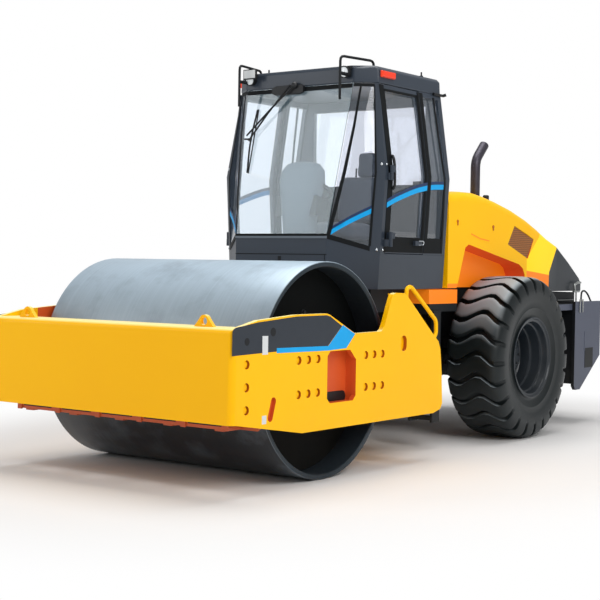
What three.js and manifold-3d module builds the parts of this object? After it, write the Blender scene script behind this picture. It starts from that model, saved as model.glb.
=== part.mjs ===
// Articulated single-drum road roller, in millimetres.
// -Y is the front, +X the machine's left, +Z up; the origin lies on the ground under the middle.
import * as THREE from 'three';
import { mergeVertices } from 'three/addons/utils/BufferGeometryUtils.js';
import Module from 'manifold-3d';

const wasm = await Module();
wasm.setup();

// ---- driving dimensions ----
const seatGap = 0.3;              // between faces that touch
const bearingGap = 0.8;           // radial, pin or journal in its bore
const runGap = 6;                 // between faces that turn past each other
const pivotGap = 0.6;             // between eyes stacked on one pin

const drumRadius = 800;
const drumWidth = 2130;
const drumShell = 40;
const drumSideGap = 70;           // drum end to side plate
const plateThick = 40;
const frontReach = 422;           // drum surface to front face of the beam
const beamDepth = 220;
const beamTop = 1147;
const beamBottom = 506;
const beamWall = 20;
const beamCorner = 45;            // bend radius of the beam's edges

const wheelbase = 3200;
const tyreRadius = 746.5;
const tyreWidth = 560;
const trackWidth = 1770;          // between tyre centres
const rimRadius = 345;            // under the tyre's beads
const treadHalf = 160;            // flat of the tread, before its shoulders fall
const shoulderFall = 18.5;        // from the tread down to its shoulder
const flankFall = 66.5;           // from the tread down to where its lugs end
const widestFall = 146.5;         // from the tread down to the tyre's widest ring
const wallFall = 226.5;           // from the tread down to the lower side wall
const rearReach = 1112;           // tyre surface to the rear face

const hingeHeight = 760;
const hingeBehindDrum = 840;      // drum surface to the steering axis
const steerPinRadius = 55;
const trunnionRadius = 100;
const beamBehindDrum = 150;       // drum surface to the rear crossbeam
const crossbeamDepth = 400;
const crossbeamTop = 1000;
const crossbeamBottom = 420;

const cabFloorZ = 1380;
const doorSillZ = 1670;
const noseSillZ = 1805;
const waistZ = 2330;
const roofEdgeZ = 3060;
const roofTopZ = 3205;
const cabHalfLow = 775;
const cabHalfWaist = 830;
const cabHalfTop = 722;
const noseHalfLow = 470;
const noseHalfTop = 556;
const cabWall = 55;
const glassThick = 8;
const doorThick = 40;
const doorGap = 6;

const hoodHalf = 800;
const hoodWall = 30;
const hoodFloorZ = 1385;
const archHalf = 590;             // half width of the hood between the wheel arches

// ---- stations along the machine, worked out from the dimensions above ----
const frontOverhang = drumRadius + frontReach;
const overallLength = frontOverhang + wheelbase + tyreRadius + rearReach;
const frontFaceY = -overallLength / 2;
const rearFaceY = overallLength / 2;
const drumY = frontFaceY + frontOverhang;
const axleY = drumY + wheelbase;
const hingeY = drumY + drumRadius + hingeBehindDrum;
const crossbeamFront = drumY + drumRadius + beamBehindDrum;
const crossbeamRear = crossbeamFront + crossbeamDepth;
const plateInner = drumWidth / 2 + drumSideGap;
const plateOuter = plateInner + plateThick;
const noseY = axleY - 2380;       // lowest front edge of the cab
const cabSideFrontY = axleY - 2080;
const doorFrontY = axleY - 2010;
const doorRearY = doorFrontY + 590;
const cabRearY = axleY - 1050;
const hoodFrontY = axleY - 1005;
const hoodTaperY = axleY + 610;   // where the hood's sides start to draw in
const tailHalf = 750;
const tailDrop = 45;              // how far the dark tail hangs below the hood's floor

// ---- materials ----
const paint = (hex, roughness = 0.45, metalness = 0) =>
  new THREE.MeshStandardMaterial({ color: hex, roughness, metalness });
const yellow = 0xf9bf04;
const darkGrey = 0x3c434c;
const black = 0x1c1f23;
const steel = 0x8f9ba5;
const chrome = 0xc9ced2;
const rubber = 0x1e2426;
const plateGrey = 0x5e6470;
const rimBlue = 0x24323f;
const glassTint = 0xa9bcc4;

const machine = new THREE.Group();

function node(name, geometry, colour, roughness, metalness) {
  const mesh = new THREE.Mesh(geometry, paint(colour, roughness, metalness));
  mesh.name = name;
  machine.add(mesh);
  return mesh;
}

// ---- solids ----
function solid(geometry) {
  geometry.deleteAttribute('normal');
  geometry.deleteAttribute('uv');
  const merged = mergeVertices(geometry, 1e-4);
  const mesh = new wasm.Mesh({
    numProp: 3,
    vertProperties: new Float32Array(merged.attributes.position.array),
    triVerts: new Uint32Array(merged.index.array),
  });
  return new wasm.Manifold(mesh);
}

function geometryOf(body) {
  const mesh = body.getMesh();
  const geometry = new THREE.BufferGeometry();
  geometry.setAttribute('position', new THREE.BufferAttribute(mesh.vertProperties, 3));
  geometry.setIndex(new THREE.BufferAttribute(mesh.triVerts, 1));
  return geometry;
}

function join(...bodies) {
  return bodies.reduce((whole, piece) => whole.add(piece));
}

function cut(body, ...tools) {
  return tools.reduce((whole, tool) => whole.subtract(tool), body);
}

function box(x0, x1, y0, y1, z0, z1) {
  const geometry = new THREE.BoxGeometry(x1 - x0, y1 - y0, z1 - z0);
  geometry.translate((x0 + x1) / 2, (y0 + y1) / 2, (z0 + z1) / 2);
  return solid(geometry);
}

// An outline pushed through along one axis: points are (y, z), (x, z) or (x, y).
function prism(axis, points, from, to, curveSegments = 8) {
  const order = axis === 'y' ? points.map(([a, b]) => [b, a]) : points;
  const shape = new THREE.Shape(order.map(([a, b]) => new THREE.Vector2(a, b)));
  const geometry = new THREE.ExtrudeGeometry(shape, {
    depth: to - from, bevelEnabled: false, curveSegments,
  });
  const unit = [new THREE.Vector3(1, 0, 0), new THREE.Vector3(0, 1, 0), new THREE.Vector3(0, 0, 1)];
  const [a, b, c] = { x: [1, 2, 0], y: [2, 0, 1], z: [0, 1, 2] }[axis];
  geometry.applyMatrix4(new THREE.Matrix4().makeBasis(unit[a], unit[b], unit[c]));
  const shift = [0, 0, 0];
  shift[c] = from;
  geometry.translate(...shift);
  return solid(geometry);
}

function cylinder(axis, centre, radius, length, sides = 32, endRadius = radius) {
  const geometry = new THREE.CylinderGeometry(endRadius, radius, length, sides);
  if (axis === 'x') geometry.rotateZ(-Math.PI / 2);
  if (axis === 'z') geometry.rotateX(Math.PI / 2);
  geometry.translate(...centre);
  return solid(geometry);
}

// A profile of [radius, offset] points turned about an X axle, offset along +X.
function turned(profile, centre, sides) {
  const points = [...profile, profile[0]].map(([r, s]) => new THREE.Vector2(r, s));
  const geometry = new THREE.LatheGeometry(points, sides);
  geometry.rotateZ(-Math.PI / 2);
  geometry.translate(...centre);
  return solid(geometry);
}

// Convex rings of equal length joined into one closed skin.
function loft(rings) {
  const count = rings[0].length;
  const position = rings.flat(2);
  const index = [];
  for (let level = 0; level + 1 < rings.length; level += 1) {
    for (let side = 0; side < count; side += 1) {
      const next = (side + 1) % count;
      const a = level * count + side;
      const b = level * count + next;
      index.push(a, b, b + count, a, b + count, a + count);
    }
  }
  const top = (rings.length - 1) * count;
  for (let side = 1; side + 1 < count; side += 1) {
    index.push(0, side + 1, side, top, top + side, top + side + 1);
  }
  const geometry = new THREE.BufferGeometry();
  geometry.setAttribute('position', new THREE.Float32BufferAttribute(position, 3));
  geometry.setIndex(index);
  const body = solid(geometry);
  return body.volume() > 0 ? body : solid(flipped(geometry));
}

function flipped(geometry) {
  const index = geometry.index.array;
  for (let i = 0; i < index.length; i += 3) [index[i], index[i + 1]] = [index[i + 1], index[i]];
  return geometry;
}

// A flat pane between four corners, with its thickness behind the corners.
function pane(corners, thickness) {
  const [a, b, c, d] = corners.map((p) => new THREE.Vector3(...p));
  const normal = c.clone().sub(a).cross(d.clone().sub(b)).normalize();
  const back = [a, b, c, d].map((p) => p.clone().addScaledVector(normal, -thickness));
  return loft([[a, b, c, d].map((p) => p.toArray()), back.map((p) => p.toArray())]);
}

// A bent round tube through points, with its corners rounded to a bend radius.
function tube(points, radius, bend, sideCount = 8, bendSteps = 3) {
  const corners = points.map((p) => new THREE.Vector3(...p));
  const line = [corners[0]];
  for (let i = 1; i + 1 < corners.length; i += 1) {
    const into = corners[i].clone().sub(corners[i - 1]).normalize();
    const out = corners[i + 1].clone().sub(corners[i]).normalize();
    const before = corners[i].clone().addScaledVector(into, -bend);
    const after = corners[i].clone().addScaledVector(out, bend);
    line.push(...new THREE.QuadraticBezierCurve3(before, corners[i], after).getPoints(bendSteps));
  }
  line.push(corners[corners.length - 1]);
  const last = line.length - 1;
  let across = new THREE.Vector3(1, 0, 0);
  if (Math.abs(line[1].clone().sub(line[0]).normalize().x) > 0.9) across.set(0, 0, 1);
  const rings = line.map((point, i) => {
    const along = line[Math.min(i + 1, last)].clone().sub(line[Math.max(i - 1, 0)]).normalize();
    across = across.clone().addScaledVector(along, -across.dot(along)).normalize();
    const up = along.clone().cross(across);
    return Array.from({ length: sideCount }, (_, k) => {
      const angle = (2 * Math.PI * k) / sideCount;
      return point.clone().addScaledVector(across, radius * Math.cos(angle))
        .addScaledVector(up, radius * Math.sin(angle)).toArray();
    });
  });
  return loft(rings);
}

function arc(cy, cz, radius, from, to, steps) {
  const points = [];
  for (let i = 0; i <= steps; i += 1) {
    const angle = THREE.MathUtils.degToRad(from + ((to - from) * i) / steps);
    points.push([cy + radius * Math.cos(angle), cz + radius * Math.sin(angle)]);
  }
  return points;
}

// Both sides of the machine: side is +1 on the left and -1 on the right.
const sides = [['left', 1], ['right', -1]];

function mirrored(body, side) {
  return side > 0 ? body : body.mirror([1, 0, 0]);
}

// ---- drum frame ----
const crownBack = 40;             // drum-frame heights are taken from the drum's axle
const axleZ = drumRadius;

function frontBeam() {
  const back = frontFaceY + beamDepth;
  const profile = [
    [frontFaceY, beamBottom],
    ...arc(frontFaceY + beamCorner, beamTop - beamCorner, beamCorner, 180, 90, 5),
    [back, beamTop],
    [back, beamBottom],
  ];
  const bent = prism('x', profile, -plateOuter, plateOuter);
  const plan = [
    [-plateInner + seatGap, back],
    [-plateInner + seatGap, frontFaceY + beamCorner],
    ...arc(-plateOuter + beamCorner, frontFaceY + beamCorner, beamCorner, 180, 270, 5),
    ...arc(plateOuter - beamCorner, frontFaceY + beamCorner, beamCorner, 270, 360, 5),
    [plateInner - seatGap, frontFaceY + beamCorner],
    [plateInner - seatGap, back],
  ];
  const footprint = prism('z', plan, beamBottom - 1, beamTop + 1);
  const hollow = box(-plateInner - 1, plateInner + 1, frontFaceY + beamWall, back - beamWall,
    beamBottom + beamWall, beamTop - beamWall);
  let beam = bent.intersect(footprint).subtract(hollow);
  for (const [, side] of sides) beam = beam.add(liftingLug(side * lugX));
  return beam;
}

const lugX = 867;
const lugHalf = 95;
const lugHeight = 82;
const lugHole = 28;
const lugY = frontFaceY + 72;
const lugThick = 30;

function liftingLug(x) {
  const ear = prism('y', [
    [x - lugHalf, beamTop - beamWall / 2],
    [x + lugHalf, beamTop - beamWall / 2],
    ...arc(x, beamTop + lugHeight - 42, 42, 20, 160, 6),
  ], lugY, lugY + lugThick);
  return ear.subtract(cylinder('y', [x, lugY + lugThick / 2, beamTop + lugHeight - 44], lugHole, 60, 16));
}

// Side plate outline as (y, z) from the drum's axle.
function plateOutline() {
  const front = -(drumRadius + frontReach - beamCorner) + seatGap;
  const rear = drumRadius + 700;
  return [
    [front, beamBottom - axleZ],
    [-433, -411],
    [drumRadius + 560, -414],
    [rear - 30, -388],
    [rear, -345],
    [rear - 17, -90],
    [rear - 44, 103],
    [rear - 75, 165],
    [rear - 155, 222],
    [drumRadius + 130, 545],
    [drumRadius + 91, 562],
    [drumRadius - 30, 566],
    [drumRadius - 66, 556],
    [drumRadius - 88, 530],
    [drumRadius - 135, 430],
    [drumRadius - 175, 340],
    [drumRadius - 206, 290],
    [drumRadius - 235, 274],
    [213, 270],
    [-110, 414],
    [-150, 425],
    [-518, 424],
    [-947, 395],
    [front, beamTop - axleZ],
  ].map(([y, z]) => [drumY + y, axleZ + z]);
}

const windowFront = -136;
const windowRear = 231;
const windowLow = -225;
const windowHigh = 152;

function plateWindow(x0, x1) {
  return prism('x', [
    [windowFront + 35, windowLow], [windowRear - 35, windowLow], [windowRear, windowLow + 35],
    [windowRear, windowHigh - 75], [windowRear - 80, windowHigh], [windowFront + 35, windowHigh],
    [windowFront, windowHigh - 35], [windowFront, windowLow + 35],
  ].map(([y, z]) => [drumY + y, axleZ + z]), x0, x1);
}

// Stiffening flange inside the plate's raised crown, lifted by a gap where a rail is seated on it.
function flangeOutline(lift = 0) {
  return [
    [-10, 500], [95, 500], [480, 210], [560, 130], [630, 120], [545, 218], [120, 545], [-25, 560],
  ].map(([y, z]) => [drumY + drumRadius + y, axleZ + z + lift]);
}

function sidePlate(side) {
  const plate = prism('x', plateOutline(), plateInner, plateOuter);
  const seat = box(plateInner - crownBack - 1, plateInner, crossbeamFront - 1, crossbeamRear + seatGap,
    crossbeamBottom, crossbeamTop + seatGap);
  const flange = prism('x', flangeOutline(), plateInner - crownBack, plateInner + 1).subtract(seat);
  const body = cut(join(plate, flange),
    plateWindow(plateInner - 100, plateOuter + 1),
    cylinder('x', [plateInner, drumY - 782, axleZ + 313], 20, 200, 16));
  return mirrored(body, side);
}

function rearCrossbeam() {
  const half = plateInner - seatGap;
  const outer = box(-half, half, crossbeamFront, crossbeamRear, crossbeamBottom, crossbeamTop);
  const hollow = box(-half - 1, half + 1, crossbeamFront + 30, crossbeamRear - 60,
    crossbeamBottom + 30, crossbeamTop - 30);
  const boss = cylinder('y', [0, crossbeamRear - 100, hingeHeight], trunnionRadius + 60, 200, 40);
  const bore = cylinder('y', [0, crossbeamRear - 100, hingeHeight], trunnionRadius + bearingGap, 220, 40);
  return join(outer.subtract(hollow), boss).subtract(bore);
}

const scraperZ = -300;            // scraper edge from the drum's axle

// Scraper bar, hung under the front beam (direction -1) or bolted to the rear crossbeam (+1).
function scraper(direction) {
  const reach = Math.sqrt(drumRadius ** 2 - scraperZ ** 2) + 8;
  const y = (offset) => drumY + direction * offset;
  const half = plateInner - 20;
  const blade = prism('x', [
    [y(reach), axleZ + scraperZ], [y(reach + 110), axleZ + scraperZ - 34],
    [y(reach + 110), axleZ + scraperZ - 66], [y(reach + 3), axleZ + scraperZ - 24],
  ], -half, half);
  const low = axleZ + scraperZ - 62;
  const hanger = direction < 0
    ? [frontFaceY + beamDepth - 54, frontFaceY + beamDepth - 26, low, beamBottom - seatGap]
    : [crossbeamFront - 16, crossbeamFront - seatGap, low - 10, low + 120];
  const run = [y(reach + 90), (hanger[0] + hanger[1]) / 2].sort((p, q) => p - q);
  const tabs = [-0.84, -0.42, 0, 0.42, 0.84].map((share) => {
    const x = share * half;
    return box(x - 40, x + 40, run[0], run[1], low, low + 24).add(box(x - 40, x + 40, ...hanger));
  });
  return join(blade, ...tabs);
}

const railRadius = 17;
const railX = plateInner - crownBack / 2 - 4;

// Grab rail from the plate's crown down to its rear shoulder.
function handrail(side) {
  const base = drumY + drumRadius;
  const points = [[214, 452], [226, 600], [286, 612], [684, 330], [690, 225], [600, 140]];
  const loop = tube(points.map(([y, z]) => [railX, base + y, axleZ + z]), railRadius, 26);
  const seat = prism('x', flangeOutline(seatGap * 1.4), plateInner - 100, plateInner);
  return mirrored(loop.subtract(seat), side);
}

const drumSides = 72;
const hubFlange = 330;
const hubRadius = 150;
const headRecess = 215;
const headThick = 40;
const journalRadius = 90;

function drumCarrier(side) {
  const headFace = drumWidth / 2 - headRecess;
  const flange = cylinder('x', [plateInner - 17.5 - seatGap, drumY, axleZ], hubFlange, 35, 40);
  const hubLength = plateInner - 20 - headFace - runGap;
  const hub = cylinder('x', [headFace + runGap + hubLength / 2, drumY, axleZ], hubRadius, hubLength, 40);
  const bore = cylinder('x', [headFace, drumY, axleZ], journalRadius + bearingGap, 240, 40);
  return mirrored(join(flange, hub).subtract(bore), side);
}

function drumHead(side) {
  const outer = drumWidth / 2 - headRecess;
  const plate = cylinder('x', [outer - headThick / 2, drumY, axleZ],
    drumRadius - drumShell - seatGap, headThick, drumSides);
  const journal = cylinder('x', [outer + 40, drumY, axleZ], journalRadius, 120, 40);
  return mirrored(plate.add(journal), side);
}

function drumShellRing() {
  const half = drumWidth / 2;
  const inner = drumRadius - drumShell;
  const chamfer = 8;
  return turned([
    [inner, -half], [drumRadius - chamfer, -half], [drumRadius, -half + chamfer],
    [drumRadius, half - chamfer], [drumRadius - chamfer, half], [inner, half],
  ], [0, drumY, axleZ], drumSides);
}

// ---- articulation ----
const linkHalf = 170;             // half height of the steering barrel
const linkRadius = 105;
const earThick = 60;
const pinStub = 50;
const armX = 300;                 // steering cylinder eyes, from the centre line
const armHalf = 55;
const eyeHalf = 30;
const eyeSwing = 6;               // rod eye to the arms above and below it
const armThick = 30;

function centreLink() {
  const barrel = cylinder('z', [0, hingeY, hingeHeight], linkRadius, 2 * linkHalf, 32);
  const pin = cylinder('z', [0, hingeY, hingeHeight], steerPinRadius, 2 * (linkHalf + pinStub), 32);
  const neckFront = crossbeamRear + runGap;
  const neck = box(-130, 130, neckFront, hingeY, hingeHeight - 120, hingeHeight + 120);
  const trunnion = cylinder('y', [0, neckFront - 70, hingeHeight], trunnionRadius, 150, 40);
  let body = join(barrel, pin, neck, trunnion);
  for (const level of [-1, 1]) {
    body = body.add(box(-armX - armHalf, armX + armHalf, hingeY - armHalf, hingeY + armHalf,
      ...slab(level, hingeHeight, eyeHalf + eyeSwing, armThick)));
  }
  return body;
}

// ---- rear frame ----
const railHalf = 330;
const railWall = 60;
const chassisTop = hoodFloorZ - 25;
const chassisBottom = 560;
const noseHalf = 200;
const bulkheadY = hingeY + 330;
const railFrontY = hingeY + 880;
const frameEndY = axleY + tyreRadius + 490;
const deckHalf = 580;
const deckBottom = 1180;
const deckFrontY = hingeY - 330;
const barrelPivot = 800;          // cylinder pivot behind the steering axis
const axleTubeHalf = 115;
const axlePad = 60;               // spring seat between the axle tube and the frame

// Upper and lower slab about a height: the z range of a slab outside the given offset.
function slab(level, centre, offset, thickness) {
  const inner = centre + level * offset;
  return [inner, inner + level * thickness].sort((a, b) => a - b);
}

// Forked casting at the front of the rear frame, with an ear above and below the steering barrel.
function hingeYoke() {
  const nose = box(-noseHalf, noseHalf, bulkheadY, railFrontY - seatGap, chassisBottom,
    deckBottom - seatGap);
  const ears = [-1, 1].map((level) => prism('z', [
    [-noseHalf, bulkheadY + 30], ...arc(0, hingeY, 140, 195, 345, 8), [noseHalf, bulkheadY + 30],
  ], ...slab(level, hingeHeight, linkHalf + runGap, earThick)));
  const bore = cylinder('z', [0, hingeY, hingeHeight], steerPinRadius + bearingGap, 600, 32);
  return join(nose, ...ears).subtract(bore);
}

function chassis() {
  const rails = box(-railHalf, railHalf, railFrontY, frameEndY, chassisBottom, chassisTop);
  const deck = box(-deckHalf, deckHalf, deckFrontY, hoodFrontY - 20, deckBottom, cabFloorZ - seatGap);
  const deckRear = box(-deckHalf, deckHalf, hoodFrontY - 30, railFrontY + 60, deckBottom, chassisTop);
  const ring = box(-deckHalf, deckHalf, hoodFrontY, frameEndY, chassisTop - 1, hoodFloorZ - seatGap);
  const bay = box(-railHalf + railWall, railHalf - railWall, railFrontY + 60, frameEndY - 60,
    chassisBottom - 1, hoodFloorZ + 1);
  const axleGap = box(-railHalf - 1, railHalf + 1, axleY - 270, axleY + 270, chassisBottom - 1,
    tyreRadius + axleTubeHalf + axlePad);
  const lugs = sides.flatMap(([, side]) => [-1, 1].map((level) => mirrored(
    box(armX - 60, railHalf, hingeY + barrelPivot - 28, railFrontY + 5,
      ...slab(level, hingeHeight, eyeHalf + pivotGap, armThick)), side)));
  return cut(join(rails, deck, deckRear, ring, ...lugs), bay, axleGap);
}

const hubFace = trackWidth / 2 - 60;   // where the wheel disc bolts to the axle
const wheelJournal = 80;
const rimWell = 318;
const rimLip = 375;
const rimHalf = tyreWidth / 2 - 28;

function rearAxle() {
  const length = 2 * (hubFace - 80);
  const tubePart = cylinder('x', [0, axleY, tyreRadius], axleTubeHalf, length, 24);
  const differential = cylinder('x', [0, axleY, tyreRadius], 230, 320, 24);
  const journal = cylinder('x', [0, axleY, tyreRadius], wheelJournal, 2 * (hubFace + 110), 32);
  let body = join(tubePart, differential, journal);
  for (const [, side] of sides) {
    const x = side * (railHalf - railWall / 2);
    body = body.add(box(x - 60, x + 60, axleY - 180, axleY + 180, tyreRadius + 60,
      tyreRadius + axleTubeHalf + axlePad - seatGap));
  }
  return body;
}

function tyre(side) {
  const half = tyreWidth / 2;
  const wall = [
    [rimRadius, half - 55], [rimRadius + 42, half - 45], [tyreRadius - wallFall, half - 8],
    [tyreRadius - widestFall, half], [tyreRadius - flankFall, half - 12],
    [tyreRadius - shoulderFall, half - 45], [tyreRadius, treadHalf],
  ];
  const ring = turned([
    ...wall.map(([radius, reach]) => [radius, -reach]),
    ...wall.toReversed(),
  ], [trackWidth / 2, axleY, tyreRadius], 40);
  return mirrored(ring, side);
}

function rim(side) {
  const seat = rimRadius - seatGap;
  const discAt = hubFace - trackWidth / 2;
  const barrel = turned([
    [rimWell - 14, -rimHalf], [rimLip, -rimHalf], [rimLip, -rimHalf + 13], [seat, -rimHalf + 23],
    [seat, rimHalf - 23], [rimLip, rimHalf - 13], [rimLip, rimHalf], [rimWell - 14, rimHalf],
  ], [trackWidth / 2, axleY, tyreRadius], 40);
  const disc = cylinder('x', [trackWidth / 2 + discAt + 12, axleY, tyreRadius], rimWell, 24, 40);
  const hub = cylinder('x', [trackWidth / 2 + discAt + 50, axleY, tyreRadius], 150, 100, 32);
  const bore = cylinder('x', [trackWidth / 2 + discAt, axleY, tyreRadius],
    wheelJournal + bearingGap, 900, 32);
  return mirrored(join(barrel, disc, hub).subtract(bore), side);
}

function engineBlock() {
  const half = railHalf - railWall - seatGap;
  return box(-half, half, axleY - 520, axleY + 600, tyreRadius + 240, 1840);
}

// ---- steering cylinders ----
const cylinderBore = 38;
const barrelRadius = 54;
const rodRadius = 22;
const barrelLength = 500;
const barrelEnd = 45;             // closed end between the bore and the eye
const pistonReach = 530;          // piston end from the rod's eye at rest

function cylinderBarrel(side) {
  const pivot = hingeY + barrelPivot;
  const eye = cylinder('z', [armX, pivot, hingeHeight], 45, 2 * eyeHalf, 24);
  const body = cylinder('y', [armX, pivot - 30 - barrelLength / 2, hingeHeight], barrelRadius,
    barrelLength, 20);
  const bore = cylinder('y', [armX, pivot - 30 - barrelEnd - barrelLength / 2, hingeHeight],
    cylinderBore, barrelLength, 20);
  return mirrored(join(body, eye).subtract(bore), side);
}

function cylinderRod(side) {
  const eye = cylinder('z', [armX, hingeY, hingeHeight], 42, 2 * eyeHalf, 20);
  const rod = cylinder('y', [armX, hingeY + pistonReach / 2, hingeHeight], rodRadius, pistonReach, 16);
  const piston = cylinder('y', [armX, hingeY + pistonReach - 20, hingeHeight],
    cylinderBore - bearingGap, 40, 20);
  return mirrored(join(rod, eye, piston), side);
}

// ---- cab ----
// Half width of the cab at a height, from its floor past the waist to the roof's edge.
function cabHalf(z) {
  if (z < waistZ) {
    return THREE.MathUtils.mapLinear(z, cabFloorZ, waistZ, cabHalfLow, cabHalfWaist);
  }
  return THREE.MathUtils.mapLinear(z, waistZ, roofEdgeZ, cabHalfWaist, cabHalfTop);
}

const noseLean = 232;             // how far the windscreen leans back from its foot to the roof

// Front corners at a height: the nose edge and the side edge of the slanted corner.
function corner(z) {
  const lean = Math.max(0, (z - noseSillZ) / (roofEdgeZ - noseSillZ));
  const side = cabSideFrontY + (z > waistZ ? 60 * (z - waistZ) / (roofEdgeZ - waistZ) : 0);
  return {
    noseX: noseHalfLow + (noseHalfTop - noseHalfLow) * lean,
    noseY: noseY + noseLean * lean,
    sideX: cabHalf(z),
    sideY: side,
  };
}

// Point on the slanted corner, share 0 at the nose and 1 at the side, sunk inwards by depth.
function cornerPoint(z, share, depth = 0) {
  const { noseX, noseY: y0, sideX, sideY } = corner(z);
  const dx = sideX - noseX;
  const dy = sideY - y0;
  const length = Math.hypot(dx, dy);
  return [
    noseX + dx * share - (dy / length) * depth * 0.9,
    y0 + dy * share + (dx / length) * depth,
    z,
  ];
}

// Height of the sill under the glass, falling from the nose to the doors.
function sillHeight(y) {
  return THREE.MathUtils.mapLinear(y, noseY, cabSideFrontY, noseSillZ, doorSillZ) - seatGap;
}

function cabBase() {
  const outline = (inset, z) => {
    const c = corner(z);
    const back = cabRearY - inset;
    return [
      [c.noseX - inset * 0.5, c.noseY + inset, z], [c.sideX - inset, c.sideY + inset * 0.5, z],
      [c.sideX - inset, back, z], [-c.sideX + inset, back, z],
      [-c.sideX + inset, c.sideY + inset * 0.5, z], [-c.noseX + inset * 0.5, c.noseY + inset, z],
    ];
  };
  const shell = loft([outline(0, cabFloorZ), outline(0, noseSillZ)]);
  const inside = loft([outline(cabWall, cabFloorZ + 60), outline(cabWall, noseSillZ + 10)]);
  const slope = prism('x', [
    [noseY - 10, sillHeight(noseY - 10)], [cabSideFrontY, doorSillZ - seatGap],
    [cabRearY + 10, doorSillZ - seatGap], [cabRearY + 10, noseSillZ + 50], [noseY - 10, noseSillZ + 50],
  ], -cabHalfWaist - 50, cabHalfWaist + 50);
  const pedestal = box(-230, 230, seatY - 200, seatY + 200, cabFloorZ + 50, seatZ - seatGap);
  return join(cut(shell, inside, slope), pedestal);
}

const seatY = axleY - 1480;
const seatZ = 1760;

function postRing(z, from, to, onSill = false) {
  const ring = [cornerPoint(z, from), cornerPoint(z, to), [corner(z).sideX, doorFrontY - doorGap, z],
    [corner(z).sideX - cabWall, doorFrontY - doorGap, z], cornerPoint(z, from, cabWall)];
  if (!onSill) return ring;
  return ring.map(([x, y]) => [x, y, Math.max(z, sillHeight(y) + 2 * seatGap)]);
}

const postShare = 0.8;

function frontPost(side) {
  const levels = [doorSillZ, waistZ, roofEdgeZ - seatGap];
  const post = loft(levels.map((z, i) => postRing(z, postShare, 1, i === 0)));
  const hinges = doorHingeZ.map((z) => cylinder('z', [hingeX, doorFrontY - 8, z - 32], 16, 60, 12)
    .add(box(cabHalf(z) - 25, hingeX - 4, doorFrontY - 40, doorFrontY - 8, z - 60, z - 4)));
  return mirrored(join(post, ...hinges), side);
}

const doorHingeZ = [1790, 2330];
const hingeX = cabHalfWaist + 22;

// A panel of the cab's side between two stations, following its bulge.
function sidePanel(y0, y1, z0, z1, thickness) {
  const outer = [[cabHalf(z0), z0], [cabHalf(waistZ), waistZ], [cabHalf(z1), z1]];
  const inner = [...outer].reverse().map(([x, z]) => [x - thickness, z]);
  return prism('y', [...outer, ...inner], y0, y1);
}

const doorTopZ = roofEdgeZ - doorGap;
const frameWidth = 45;
const kickPanel = 135;

function sideOpening(y0, y1, z0, z1) {
  return box(0, cabHalfWaist + 100, y0, y1, z0, z1);
}

function door(side) {
  const panel = sidePanel(doorFrontY, doorRearY, doorSillZ + doorGap, doorTopZ, doorThick);
  const window = sideOpening(doorFrontY + frameWidth, doorRearY - frameWidth,
    doorSillZ + kickPanel, doorTopZ - frameWidth);
  const knuckles = doorHingeZ.map((z) => join(
    cylinder('z', [hingeX, doorFrontY - 8, z + 28 + pivotGap], 16, 60, 12),
    box(cabHalf(z) - 25, hingeX + 10, doorFrontY + 2, doorFrontY + 40, z + 4, z + 54),
  ));
  const skin = cabHalf(1800);
  const handle = box(skin - 5, skin + 26, doorRearY - 170, doorRearY - 60, 1745, 1785);
  return mirrored(join(panel.subtract(window), ...knuckles, handle), side);
}

function doorGlass(side) {
  const inset = frameWidth + seatGap;
  const y0 = doorFrontY + inset;
  const y1 = doorRearY - inset;
  const z0 = doorSillZ + kickPanel + seatGap;
  const z1 = doorTopZ - inset;
  const shape = [[cabHalf(z0), z0], [cabHalf(waistZ), waistZ], [cabHalf(z1), z1]];
  const outer = shape.map(([x, z]) => [x - doorThick / 2, z]);
  const inner = [...shape].reverse().map(([x, z]) => [x - doorThick / 2 - glassThick, z]);
  return mirrored(prism('y', [...outer, ...inner], y0, y1), side);
}

const rearPostWidth = 60;
const quarterFront = doorRearY + doorGap + frameWidth;

// Rear wall with both rear posts and quarter-window frames, wrapped round the back of the cab.
function rearWall() {
  const panels = sides.map(([, side]) => {
    const panel = sidePanel(doorRearY + doorGap, cabRearY, doorSillZ, roofEdgeZ - seatGap, cabWall);
    const window = sideOpening(quarterFront, cabRearY - rearPostWidth,
      doorSillZ + kickPanel, roofEdgeZ - frameWidth);
    return mirrored(panel.subtract(window), side);
  });
  const half = (z) => cabHalf(z) - cabWall / 2;
  const back = prism('y', [
    [-half(doorSillZ), doorSillZ], [half(doorSillZ), doorSillZ], [half(waistZ), waistZ],
    [half(roofEdgeZ), roofEdgeZ - seatGap], [-half(roofEdgeZ), roofEdgeZ - seatGap],
    [-half(waistZ), waistZ],
  ], cabRearY - cabWall, cabRearY);
  const glassHole = box(-rearGlassHalf, rearGlassHalf, cabRearY - 100, cabRearY + 1,
    rearGlassLow, roofEdgeZ - 90);
  return join(...panels, back.subtract(glassHole));
}

const rearGlassHalf = 600;
const rearGlassLow = 2290;

function quarterGlass(side) {
  const z0 = doorSillZ + kickPanel + seatGap;
  const z1 = roofEdgeZ - frameWidth - seatGap;
  const shape = [[cabHalf(z0), z0], [cabHalf(waistZ), waistZ], [cabHalf(z1), z1]];
  const outer = shape.map(([x, z]) => [x - cabWall / 2, z]);
  const inner = [...shape].reverse().map(([x, z]) => [x - cabWall / 2 - glassThick, z]);
  return mirrored(prism('y', [...outer, ...inner], quarterFront + seatGap,
    cabRearY - rearPostWidth - seatGap), side);
}

function rearGlass() {
  return box(-rearGlassHalf + seatGap, rearGlassHalf - seatGap, cabRearY - cabWall / 2 - glassThick,
    cabRearY - cabWall / 2, rearGlassLow + seatGap, roofEdgeZ - 90 - seatGap);
}

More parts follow.
